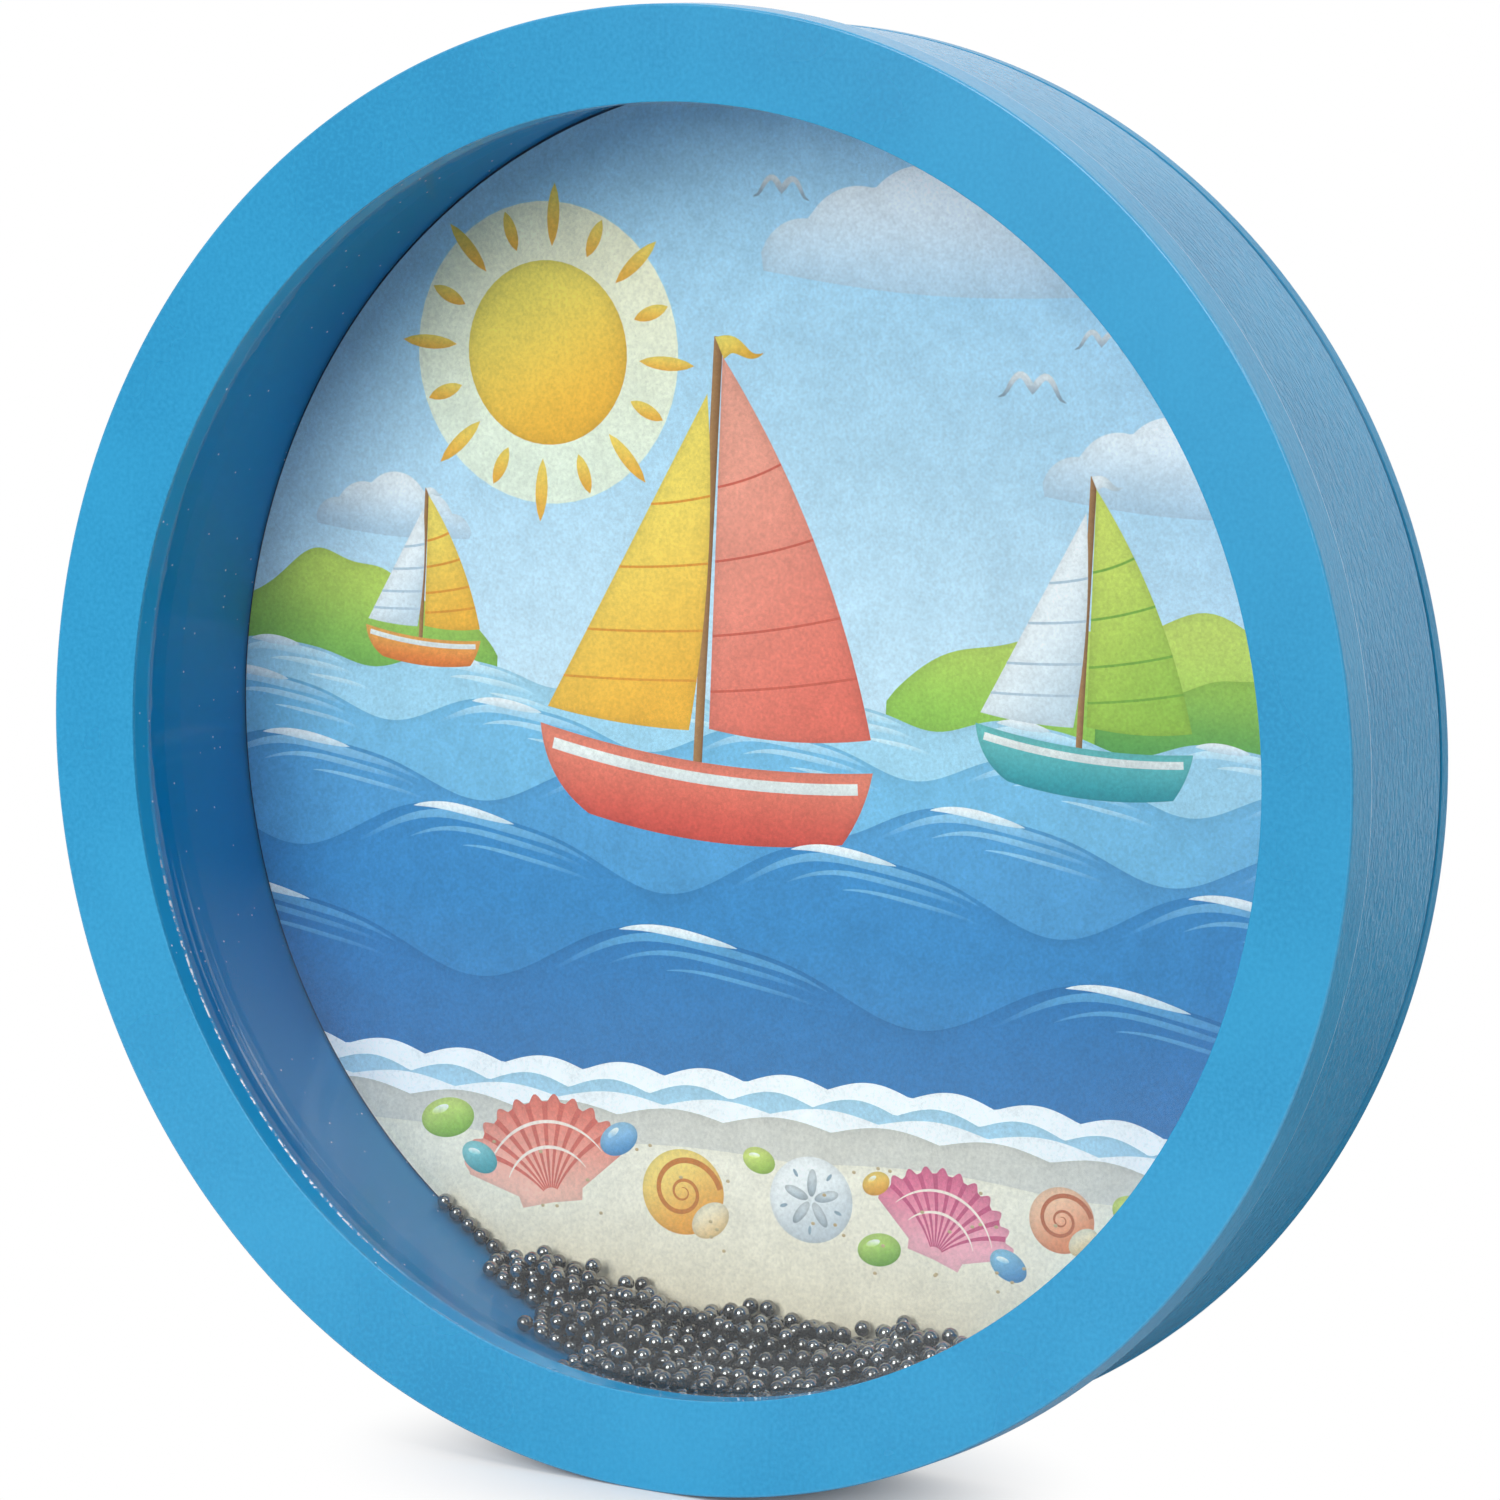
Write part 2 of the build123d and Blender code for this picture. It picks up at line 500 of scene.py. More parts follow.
@dataclass(frozen=True)
class PolishedSteel:
    """Tumbled bearing steel: a dark mirror, slightly warmer or duller from ball to ball."""

    name: str = "polished_bearing_steel"
    bright: str = "#A3A2A1"
    dull: str = "#757270"
    roughness: float = 0.04
    scuff_roughness: float = 0.05
    scuff_mm: float = 0.4

    def make(self) -> bpy.types.Material:
        """Builds the material from each ball's own tone and a film of fine scuffs.

        Returns:
            The finished material.
        """
        material, node = new_material(self.name)
        place = node("ShaderNodeTexCoord").outputs["Object"]
        tone = node("ShaderNodeAttribute", attribute_name="tone").outputs["Fac"]
        colour = node("ShaderNodeMix", {0: tone, 6: linear(self.bright), 7: linear(self.dull)}, data_type="RGBA")
        scuffs = node("ShaderNodeTexNoise", {"Vector": place, "Scale": per_metre(self.scuff_mm), "Detail": 2.0})
        most = self.roughness + self.scuff_roughness
        rough = node("ShaderNodeMapRange", {"Value": scuffs, "To Min": self.roughness, "To Max": most})
        shader = node("ShaderNodeBsdfPrincipled", {"Base Color": colour, "Metallic": 1.0, "Roughness": rough})
        node("ShaderNodeOutputMaterial", {"Surface": shader})
        return material


@dataclass(frozen=True)
class WatercolourPaper:
    """Printed watercolour on smooth card: granulated pigment, pencil grain, a faint tooth."""

    name: str = "watercolour_print"
    wash_mm: float = 7.0
    grain_mm: float = 0.45
    wash_depth: float = 0.12
    grain_depth: float = 0.13
    # lift paints the print brighter than its inks, a painted light that makes up for the light the pane and the ring's
    # shade take.
    lift: float = 1.22
    tooth_mm: float = 0.01
    tooth_strength: float = 0.4
    roughness: float = 0.55
    gloss: float = 0.3

    def make(self) -> bpy.types.Material:
        """Builds the material from the sheet's pigment attribute and two sizes of pigment grain.

        Returns:
            The finished material.
        """
        material, node = new_material(self.name)
        place = node("ShaderNodeTexCoord").outputs["Object"]
        pigment = node("ShaderNodeAttribute", attribute_name="pigment").outputs["Color"]
        pools = {"Vector": place, "Scale": per_metre(self.wash_mm), "Detail": 7.0, "Roughness": 0.66}
        grit = {"Vector": place, "Scale": per_metre(self.grain_mm), "Detail": 2.0, "Roughness": 0.6}
        wash, grain = node("ShaderNodeTexNoise", pools), node("ShaderNodeTexNoise", grit)
        shares = []
        # The wash is scaled by lift, the painted light on the print.
        for noise, least, most in (
            (wash, self.lift * (1 - self.wash_depth), self.lift * (1 + 0.5 * self.wash_depth)),
            (grain, 1 - self.grain_depth, 1 + self.grain_depth),
        ):
            span = {"Value": noise, "From Min": 0.25, "From Max": 0.75, "To Min": least, "To Max": most}
            shares.append(node("ShaderNodeMapRange", span))
        both = node("ShaderNodeMath", {0: shares[0], 1: shares[1]}, operation="MULTIPLY")
        colour = node("ShaderNodeVectorMath", {0: pigment, "Scale": both}, operation="SCALE")
        tooth = {"Height": grain, "Strength": self.tooth_strength, "Distance": self.tooth_mm * MM}
        look = {"Base Color": colour, "Normal": node("ShaderNodeBump", tooth)}
        shader = node(
            "ShaderNodeBsdfPrincipled", look | {"Roughness": self.roughness, "Specular IOR Level": self.gloss}
        )
        node("ShaderNodeOutputMaterial", {"Surface": shader})
        return material


# Turned pieces


@dataclass(frozen=True)
class Knot:
    """One corner of a turned profile: its place in millimetres, its rounding, its wear and painted light (above nought
    a rubbed edge with a painted highlight, below nought a painted groove shade) and whether it is inside.
    """

    radius: float
    station: float
    rounding: float = 0.0
    wear_and_painted_light: float = 0.0
    inside: bool = False


@dataclass
class TurnedPiece:
    """A piece turned round the drum axis from a closed profile of knots, counter-clockwise in radius and station."""

    name: str
    knots: list[Knot]
    segments: int = 288
    round_steps: int = 6
    support_mm: float = 0.14
    sharp_angle: float = 40.0

    def profile(self) -> list[Knot]:
        """Rounds the knots and sets a supporting ring just before and after each rounding.

        Returns:
            The points of the finished profile, in order.
        """
        points: list[Knot] = []
        for number, knot in enumerate(self.knots):
            if knot.rounding <= 0:
                points.append(knot)
                continue
            here = Vector((knot.radius, knot.station))
            before, after = self.knots[number - 1], self.knots[(number + 1) % len(self.knots)]
            back = (Vector((before.radius, before.station)) - here).normalized()
            ahead = (Vector((after.radius, after.station)) - here).normalized()
            half = 0.5 * back.angle(ahead)
            reach = knot.rounding / math.tan(half)
            centre = here + (back + ahead).normalized() * (knot.rounding / math.sin(half))
            start, end = here + back * reach, here + ahead * reach
            points.append(self._plain(start + back * self.support_mm, knot))
            for step in range(self.round_steps + 1):
                blend = start.lerp(end, step / self.round_steps)
                place = centre + (blend - centre).normalized() * knot.rounding
                points.append(Knot(place.x, place.y, 0.0, knot.wear_and_painted_light, knot.inside))
            points.append(self._plain(end + ahead * self.support_mm, knot))
        return points

    @staticmethod
    def _plain(place: Vector, knot: Knot) -> Knot:
        """An unworn profile point, inside or outside like its knot."""
        return Knot(place.x, place.y, inside=knot.inside)

    def build(self, *finishes: SatinLacquer) -> bpy.types.Object:
        """Turns the profile into a closed mesh with a turned UV map and an attribute of wear and painted light.

        Args:
            finishes: the coat, and where the piece has inside knots the thinner coat of its inside.

        Returns:
            The new object.
        """
        profile = self.profile()
        count = len(profile)
        vertices: list[Place] = []
        owners: list[Knot] = []
        index: dict[tuple[int, int], int] = {}
        for number, knot in enumerate(profile):
            pole = knot.radius < 1e-6
            for turn in range(self.segments):
                if pole and turn:
                    index[turn, number] = index[0, number]
                    continue
                index[turn, number] = len(vertices)
                owners.append(knot)
                vertices.append(round_axis(knot.radius, knot.station, 2 * math.pi * turn / self.segments))
        lengths = [0.0]
        for first, second in zip(profile, profile[1:] + profile[:1]):
            lengths.append(lengths[-1] + math.hypot(second.radius - first.radius, second.station - first.station))
        girth = 2 * math.pi * max(knot.radius for knot in profile)
        faces, spots, coats = [], [], []
        for turn in range(self.segments):
            for number in range(count):
                face, spot = [], []
                for turned, moved in ((turn, number), (turn, number + 1), (turn + 1, number + 1), (turn + 1, number)):
                    vertex = index[turned % self.segments, moved % count]
                    if vertex not in face:
                        face.append(vertex)
                        spot.append((girth * turned / self.segments, lengths[moved]))
                if len(face) > 2:
                    faces.append(face)
                    spots.extend(spot)
                    coats.append(int(profile[number].inside and profile[(number + 1) % count].inside))
        mesh = bpy.data.meshes.new(self.name)
        mesh.from_pydata(vertices, [], faces)
        layer = mesh.uv_layers.new(name=TURN_UV)
        layer.data.foreach_set("uv", np.array(spots, dtype=np.float32).ravel())
        wear_and_painted_light = mesh.attributes.new("wear_and_painted_light", "FLOAT", "POINT")
        wear_and_painted_light.data.foreach_set("value", [knot.wear_and_painted_light for knot in owners])
        for finish in finishes:
            mesh.materials.append(finish.make())
        mesh.polygons.foreach_set("material_index", coats)
        mesh.shade_smooth()
        mesh.set_sharp_from_angle(angle=math.radians(self.sharp_angle))
        return new_object(self.name, mesh)


@dataclass
class LacqueredShell:
    """The wooden shell: front ring, hoop and back board."""

    sizes: DrumSizes
    front_round: float = 0.3
    # Handled edges are painted lighter: rubbed paint, with a painted highlight along them.
    front_rub_and_highlight: float = 0.45
    lip_round: float = 0.14
    ring_back_round: float = 0.4
    ring_back_rub_and_highlight: float = 0.95
    back_round: float = 1.0
    corner_round: float = 0.06
    back_bevel: float = 0.4
    # Marks the back groove for a painted shade.
    groove_shade: float = -1.0
    pane_clearance: float = 0.3

    @staticmethod
    def shaded_inside_coat(piece: str, colour: str, gloss: float) -> SatinLacquer:
        """The inside is a darker, purer copy of the lacquer, with the shade of the drum's inside painted into it; it
        mirrors less, and dust clings to it.

        Args:
            piece: the piece whose inside it is.
            colour: the coat's colour, with its painted shade.
            gloss: how much it mirrors.

        Returns:
            The finish.
        """
        tone = {"colour": colour, "pooled": colour, "gloss": gloss}
        return SatinLacquer(f"shaded_lacquer_{piece}_inside", **tone, roughness=0.1, grain_strength=0.0, speck_cover=1.0)

    def front_ring(self) -> bpy.types.Object:
        """The flat ring in front, with the rabbet that holds the window.

        Returns:
            The new object.
        """
        s = self.sizes
        seat = s.pane + self.pane_clearance
        knots = [
            Knot(s.lip, s.front_face, self.lip_round),
            Knot(s.outer, s.front_face, self.front_round, self.front_rub_and_highlight),
            Knot(s.outer, s.front_seam, self.ring_back_round, self.ring_back_rub_and_highlight),
            Knot(seat, s.front_seam),
            Knot(seat, s.pane_front),
            Knot(s.lip, s.pane_front, inside=True),
            Knot(s.lip, s.front_face + 2 * self.front_round, inside=True),
        ]
        coat = SatinLacquer("satin_lacquer_ring", roughness=0.27)
        # The lip takes the darker inside copy, a painted shade.
        return TurnedPiece("front_ring_lacquered", knots).build(coat, self.shaded_inside_coat("ring", "#2193C8", 0.06))

    def hoop(self) -> bpy.types.Object:
        """The deep ring behind it, with grain that shows through the lacquer.

        Returns:
            The new object.
        """
        s = self.sizes
        knots = [
            Knot(s.bore, s.front_seam, inside=True),
            Knot(s.hoop, s.front_seam),
            Knot(s.hoop, s.back_seam - self.back_bevel, self.corner_round),
            Knot(s.hoop - self.back_bevel, s.back_seam, wear_and_painted_light=self.groove_shade),
            Knot(s.bore, s.back_seam, inside=True),
        ]
        # Hand-sanded wood under thin lacquer: short fine fibres run round the hoop.
        coat = SatinLacquer("satin_lacquer_hoop", grain_strength=1.0, roughness=0.19)
        # The bore takes the darker inside copy, a painted shade.
        return TurnedPiece("hoop_lacquered", knots).build(coat, self.shaded_inside_coat("hoop", "#0F8BC6", 0.1))

    def back_board(self) -> bpy.types.Object:
        """The disc that closes the back.

        Returns:
            The new object.
        """
        s = self.sizes
        knots = [
            Knot(0.0, s.back_seam),
            Knot(s.hoop - self.back_bevel, s.back_seam, wear_and_painted_light=self.groove_shade),
            Knot(s.hoop, s.back_seam + self.back_bevel, self.corner_round),
            Knot(s.hoop, s.back_face, self.back_round),
            Knot(0.0, s.back_face),
        ]
        coat = SatinLacquer("satin_lacquer_board", colour="#2C95C4", pooled="#2188B6", roughness=0.3, gloss=0.25)
        return TurnedPiece("back_board_lacquered", knots).build(coat)

    def build(self) -> None:
        """Builds and dresses the three pieces."""
        body = Body.SHELL.value
        dress(self.front_ring(), body, "lacquered_ring", "front_ring")
        dress(self.hoop(), body, "lacquered_hoop", "hoop")
        dress(self.back_board(), body, "lacquered_board", "back_board")


@dataclass
class Window:
    """The clear pane and the uneven bead of glue along its edge."""

    sizes: DrumSizes
    nodes: dict[str, bpy.types.Object]
    bead_most: float = 0.85
    bead_least: float = 0.12
    bead_fill: float = 0.99
    bead_hollow: float = 0.42
    bead_waves: tuple[int, ...] = (7, 13, 29, 61, 113, 171)
    wave_fall: float = 0.35
    wave_power: float = 1.3
    heavy_share: float = 0.8
    heavy_from: float = 0.84
    heavy_over: float = 0.1
    bead_segments: int = 900
    bead_points: int = 5
    sharp_angle: float = 50.0
    seed: int = 5

    def pane(self) -> None:
        """Gives the CAD pane its finish."""
        piece = self.nodes["window_pane"]
        piece.material_slots[0].material = ClearPane(edge_mm=self.sizes.lip).make()
        LOG.info("%s: finish set", piece.name)

    def _legs(self, turns: np.ndarray) -> np.ndarray:
        """How far the bead reaches along lip and pane: thick and thin by turns, heavy at the lower left.

        Args:
            turns: angles round the drum, from its foot.

        Returns:
            The reach in millimetres at each angle.
        """
        chance = np.random.default_rng(self.seed)
        swell = np.zeros_like(turns)
        for waves in self.bead_waves:
            swell += np.sin(waves * turns + chance.uniform(0, 2 * np.pi)) / waves**self.wave_fall
        swell = (swell - swell.min()) / (swell.max() - swell.min())
        aim = np.sin(turns) * LOWER_LEFT[0] - np.cos(turns) * LOWER_LEFT[2]
        heavy = self.heavy_share * np.clip((aim - self.heavy_from) / self.heavy_over, 0, 1)
        fullness = heavy + (1 - heavy) * swell**self.wave_power
        return self.bead_least + (self.bead_most - self.bead_least) * fullness

    def bead(self) -> bpy.types.Object:
        """A run of glue in the corner between lip and pane, with a hollow face.

        Returns:
            The new object.
        """
        bore, front = self.sizes.lip, self.sizes.pane_front
        turns = np.linspace(0, 2 * np.pi, self.bead_segments, endpoint=False)
        vertices: list[Place] = []
        for turn, leg in zip(turns, self._legs(turns)):
            for step in range(self.bead_points):
                angle = 0.5 * math.pi * step / (self.bead_points - 1)
                reach = leg * self.bead_fill * (1 - self.bead_hollow * math.sin(2 * angle))
                vertices.append(round_axis(bore - reach * math.sin(angle), front - reach * math.cos(angle), turn))
            vertices.append(round_axis(bore, front, turn))
        faces = []
        ring = self.bead_points + 1
        for turn in range(self.bead_segments):
            here, there = turn * ring, (turn + 1) % self.bead_segments * ring
            for step in range(ring):
                ahead = (step + 1) % ring
                faces.append((here + step, there + step, there + ahead, here + ahead))
        mesh = bpy.data.meshes.new("glue_bead")
        mesh.from_pydata(vertices, [], faces)
        work = bmesh.new()
        work.from_mesh(mesh)
        bmesh.ops.recalc_face_normals(work, faces=work.faces)
        work.to_mesh(mesh)
        work.free()
        mesh.shade_smooth()
        mesh.set_sharp_from_angle(angle=math.radians(self.sharp_angle))
        mesh.materials.append(ClearGlue(edge_mm=bore, front_mm=front).make())
        return new_object("glue_bead", mesh)

    def build(self) -> None:
        """Dresses the pane and builds the bead."""
        self.pane()
        dress(self.bead(), Body.SHELL.value, "clear_glue", "window_bead")


# Loose balls


@dataclass
class BallHeaps:
    """The loose balls, one heap for each slice of the chamber that sweeps round by itself."""

    nodes: dict[str, bpy.types.Object]
    diameter: float = 2.38
    weld: float = 0.002
    seed: int = 8
    heaps: dict[str, Body] = field(
        default_factory=lambda: {
            "front_balls": Body.FRONT_HEAP,
            "middle_balls": Body.MIDDLE_HEAP,
            "rear_balls": Body.REAR_HEAP,
        }
    )

    def tree(self) -> tuple[bpy.types.NodeTree, dict[str, str]]:
        """The node tree that sets one smooth ball at the middle of each ball of a CAD heap.

        Returns:
            The tree and the identifiers of its inputs by name.
        """
        tree = bpy.data.node_groups.new("ball_heap", "GeometryNodeTree")
        node = partial(add_node, tree)
        face = tree.interface
        for name, kind in (
            ("Heap", "NodeSocketGeometry"),
            ("Ball radius", "NodeSocketFloat"),
            ("Weld distance", "NodeSocketFloat"),
            ("Seed", "NodeSocketInt"),
            ("Steel", "NodeSocketMaterial"),
        ):
            face.new_socket(name, in_out="INPUT", socket_type=kind)
        face.new_socket("Balls", in_out="OUTPUT", socket_type="NodeSocketGeometry")
        given = node("NodeGroupInput").outputs
        # Each ball's corners gather at their middle, and the first of them becomes the ball's centre.
        welded = node("GeometryNodeMergeByDistance", {"Geometry": given["Heap"], "Distance": given["Weld distance"]})
        ball = node("GeometryNodeInputMeshIsland").outputs["Island Index"]
        place = node("GeometryNodeInputPosition")
        total = node("GeometryNodeAccumulateField", {0: place, "Group ID": ball}, data_type="FLOAT_VECTOR")
        number = node("GeometryNodeAccumulateField", {"Group ID": ball}, data_type="INT").outputs
        shares = {0: total.outputs["Total"], 1: number["Total"]}
        middle = node("ShaderNodeVectorMath", shares, operation="DIVIDE")
        gathered = node("GeometryNodeSetPosition", {"Geometry": welded, "Position": middle})
        first = node("FunctionNodeCompare", {2: number["Trailing"], 3: 0}, data_type="INT", operation="EQUAL")
        centres = node("GeometryNodeSeparateGeometry", {"Geometry": gathered, "Selection": first}, domain="POINT")
        sphere = node("GeometryNodeMeshIcoSphere", {"Radius": given["Ball radius"], "Subdivisions": 2})
        smooth = node("GeometryNodeSetShadeSmooth", {0: sphere})
        angles = {0: (0, 0, 0), 1: (math.tau, math.tau, math.tau), "Seed": given["Seed"]}
        turn = node("FunctionNodeRandomValue", angles, data_type="FLOAT_VECTOR")
        rotation = node("FunctionNodeEulerToRotation", {"Euler": turn})
        placed = node("GeometryNodeInstanceOnPoints", {"Points": centres, "Instance": smooth, "Rotation": rotation})
        shade = node("FunctionNodeRandomValue", {2: 0.0, 3: 1.0, "Seed": given["Seed"]}, data_type="FLOAT")
        toned = node(
            "GeometryNodeStoreNamedAttribute",
            {"Geometry": placed, "Name": "tone", "Value": shade},
            data_type="FLOAT",
            domain="INSTANCE",
        )
        solid = node("GeometryNodeRealizeInstances", {"Geometry": toned})
        steel = node("GeometryNodeSetMaterial", {"Geometry": solid, "Material": given["Steel"]})
        node("NodeGroupOutput", {"Balls": steel})
        return tree, {item.name: item.identifier for item in face.items_tree if item.in_out == "INPUT"}

    def build(self) -> None:
        """Fills the heaps, one plain mesh for each body."""
        tree, names = self.tree()
        steel = PolishedSteel().make()
        for number, (node, body) in enumerate(self.heaps.items()):
            piece = new_object(f"{node}_steel", self.nodes[node].data.copy())
            heap = piece.modifiers.new("balls", "NODES")
            heap.node_group = tree
            heap[names["Ball radius"]] = 0.5 * self.diameter * MM
            heap[names["Weld distance"]] = self.weld * MM
            heap[names["Seed"]] = self.seed + number
            heap[names["Steel"]] = steel
            state = bpy.context.evaluated_depsgraph_get()
            mesh = bpy.data.meshes.new_from_object(piece.evaluated_get(state))
            piece.modifiers.remove(heap)
            piece.data = mesh
            dress(piece, body.value, "steel_balls", node)


# The print


@dataclass(frozen=True)
class Wash:
    """A graded wash: two colours, the way it darkens and how much pigment gathers along its edge."""

    light: str
    deep: str
    angle: float = -90.0
    edge: float = 0.16
    edge_mm: float = 0.6

    @classmethod
    def even(cls, colour: str) -> Wash:
        """A wash of one colour, with no gathered edge."""
        return cls(colour, colour, edge=0.0)

    def paint(self, places: np.ndarray, outline: np.ndarray) -> np.ndarray:
        """Colours of the wash.

        Args:
            places: points in millimetres.
            outline: the washed shape's corners.

        Returns:
            Linear colours, one for each point.
        """
        way = np.array([math.cos(math.radians(self.angle)), math.sin(math.radians(self.angle))])
        reach = np.clip(np.hypot(*outline.T).max(), 0, 100)
        spread = np.clip(outline @ way, -reach, reach)
        share = np.clip((places @ way - spread.min()) / max(np.ptp(spread), 1e-6), 0, 1)[:, None]
        share = share * share * (3 - 2 * share)
        colour = np.array(linear(self.light)[:3]) * (1 - share) + np.array(linear(self.deep)[:3]) * share
        if self.edge <= 0:
            return colour
        gathered = np.exp(-edge_distance(places, outline) / self.edge_mm)[:, None]
        return colour * (1 - self.edge * gathered)


def edge_distance(places: np.ndarray, outline: np.ndarray) -> np.ndarray:
    """Distance of each point from a closed outline.

    Args:
        places: points in millimetres.
        outline: the outline's corners.

    Returns:
        Distances in millimetres.
    """
    run = np.roll(outline, -1, axis=0) - outline
    square = np.maximum((run**2).sum(1), 1e-12)
    away = places[:, None, :] - outline[None]
    along = np.clip((away * run[None]).sum(2) / square[None], 0, 1)
    gap = away - along[..., None] * run[None]
    return np.sqrt((gap**2).sum(2).min(1))


def signed_area(outline: Outline) -> float:
    """Twice the area inside an outline, above nought where it runs counter-clockwise.

    Args:
        outline: the outline's corners.

    Returns:
        Twice the area in square millimetres.
    """
    line = np.array(outline)
    ahead = np.roll(line, -1, axis=0)
    return (line[:, 0] * ahead[:, 1] - ahead[:, 0] * line[:, 1]).sum()


def ring_of(u: float, v: float, wide: float, high: float, turn: float = 0.0, count: int = 48) -> Outline:
    """An ellipse as an outline.

    Args:
        u: middle, to the right.
        v: middle, upwards.
        wide: half of its width.
        high: half of its height.
        turn: its tilt in degrees.
        count: number of corners.

    Returns:
        The outline.
    """
    c, s = math.cos(math.radians(turn)), math.sin(math.radians(turn))
    points = []
    for step in range(count):
        angle = 2 * math.pi * step / count
        a, b = wide * math.cos(angle), high * math.sin(angle)
        points.append((u + a * c - b * s, v + a * s + b * c))
    return points


def stroke(path: Outline, widths: Callable[[float], float] | float) -> Outline:
    """A brush stroke along a path.

    Args:
        path: the points of its middle line.
        widths: its half width, or a function of the share of the way along it.

    Returns:
        The outline of the stroke.
    """
    line = np.array(path)
    way = np.gradient(line, axis=0)
    way /= np.maximum(np.linalg.norm(way, axis=1), 1e-9)[:, None]
    side = np.column_stack([-way[:, 1], way[:, 0]])
    shares = np.linspace(0, 1, len(line))
    half = np.array([widths(share) if callable(widths) else widths for share in shares])[:, None]
    return [tuple(point) for point in np.vstack([line + side * half, (line - side * half)[::-1]])]


def bent(start: Point, end: Point, bulge: float, count: int) -> Outline:
    """A bowed line between two points, without its last point.

    Args:
        start: where it begins.
        end: where it ends.
        bulge: how far it bows to its left.
        count: number of points.

    Returns:
        The points of the line.
    """
    a, b = np.array(start), np.array(end)
    side = np.array([a[1] - b[1], b[0] - a[0]])
    side = side / max(np.linalg.norm(side), 1e-9)
    middle = 0.5 * (a + b) + 2 * bulge * side
    shares = [step / count for step in range(count)]
    return [tuple((1 - t) ** 2 * a + 2 * t * (1 - t) * middle + t * t * b) for t in shares]


def taper(most: float) -> Callable[[float], float]:
    """Half widths of a stroke that thins out to both ends."""
    return lambda share: most * max(math.sin(math.pi * share), 0.0) ** 0.7 + 0.03


@dataclass
class SeasidePrint:
    """The printed card at the bottom of the drum: boats on rolling swells, sky above and a shell beach below."""

    sizes: DrumSizes
    grid_mm: float = 1.5
    row_share: float = 0.866
    rim_share: float = 0.6
    weld_mm: float = 1e-4
    inset_mm: float = 0.9
    rim_points: int = 360
    margin_mm: float = 6.0
    foot: float = -98.0
    card: str = "#F2F3F1"
    seed: int = 21
    motifs: list[tuple[Outline, Wash]] = field(default_factory=list)

    @property
    def wide(self) -> float:
        """Half of the width that swells and sand are drawn to, a little past the sheet."""
        return self.sizes.print_radius + self.margin_mm

    def draw(self, outline: Outline, wash: Wash) -> None:
        """Lays one motif over those drawn before it, counter-clockwise as the cutting needs it."""
        self.motifs.append((outline if signed_area(outline) > 0 else outline[::-1], wash))

    def fill_below(self, top: Outline, wash: Wash) -> None:
        """Washes the sheet from a line across it down to its foot."""
        self.draw(top + [(self.wide, self.foot), (-self.wide, self.foot)], wash)

    def sky(self) -> None:
        """Graded sky with a sun, clouds and gulls."""
        reach = self.sizes.print_radius
        self.draw(ring_of(0, 0, reach, reach, 0, self.rim_points), Wash("#A8D5EE", "#EAF5FA", edge=0.0))
        u, v, rays = -42.0, 49.0, 16
        self.draw(ring_of(u, v, 21, 21), Wash("#F9F1CF", "#E9F0DC", edge=0.0))
        for ray in range(rays):
            angle = 2 * math.pi * ray / rays
            a, b = math.cos(angle), math.sin(angle)
            line = [(u + a * r, v + b * r) for r in np.linspace(14.8, 20.5 if ray % 2 else 23.5, 8)]
            self.draw(stroke(line, taper(0.95)), Wash("#FBD964", "#F7B445", edge=0.1))
        self.draw(ring_of(u, v, 12.8, 12.8), Wash("#FDE467", "#F8B93F", -60, 0.22, 1.2))
        for u, v, half in ((16, 63, 25), (55, 36, 19), (-66, 22, 13)):
            self.cloud(u, v, half)
        for u, v, size in ((34, 50, 5.2), (44, 57, 4.0), (-6, 74, 4.4)):
            path = []
            for step in range(25):
                t = step / 12 - 1
                lift = 0.42 * size * math.sin(math.pi * min(abs(t) * 1.25, 1)) - 0.25 * size * t * t
                path.append((u + size * t, v + lift))
            self.draw(stroke(path, taper(0.1 * size)), Wash("#F8FBFC", "#9DB4C6", edge=0.25))

    def cloud(self, u: float, v: float, half: float) -> None:
        """A heaped cloud with a flat foot.

        Args:
            u: middle of its foot, to the right.
            v: height of its foot.
            half: half of its width.
        """
        puffs = [(-0.72, 0.02, 0.28), (-0.38, 0.14, 0.36), (0.02, 0.22, 0.42), (0.42, 0.12, 0.34), (0.75, 0.0, 0.25)]
        top = []
        for x in np.linspace(-0.99, 0.99, 72):
            height = 0.0
            for middle, lift, radius in puffs:
                gap = radius**2 - (x - middle) ** 2
                if gap > 0:
                    height = max(height, lift + math.sqrt(gap))
            top.append((u + half * x, v + half * height))
        foot = [(u + half * x, v - 0.06 * half * math.cos(0.5 * math.pi * x)) for x in np.linspace(0.97, -0.97, 24)]
        self.draw(top + foot, Wash("#FCFEFF", "#BCD6E8", edge=0.10, edge_mm=1.4))

    def hills(self) -> None:
        """Low green headlands on the horizon."""
        for left, right, height, light, deep in (
            (14, 92, 15, "#CFE06A", "#93C552"),
            (46, 96, 9, "#A9CF55", "#5FA653"),
            (-96, -48, 11, "#C6DB62", "#7DB653"),
        ):
            ridge = []
            for x in np.linspace(0, 1, 60):
                rise = math.sin(math.pi * x) ** 0.8 * (1 + 0.16 * math.sin(9 * x + left) + 0.07 * math.sin(23 * x))
                ridge.append((left + (right - left) * x, 6 + height * rise))
            self.draw(ridge + [(right, 2), (left, 2)], Wash(light, deep, edge=0.2, edge_mm=0.8))

    def swell(self, level: float, height: float, length: float, shift: float, *tones: str) -> None:
        """One rolling swell across the whole sheet, with lit bands and foam under its crests.

        Args:
            level: its middle height.
            height: how far it rises and falls.
            length: from crest to crest.
            shift: its phase.
            tones: its light, deep and crest colours.
        """
        light, deep, crest = tones

        def surface(u: float) -> float:
            """Height of the water."""
            phase = 2 * math.pi * (u / length) + shift
            return level + height * (math.sin(phase) + 0.22 * math.sin(2 * phase + 0.9) + 0.12 * math.sin(0.41 * phase))

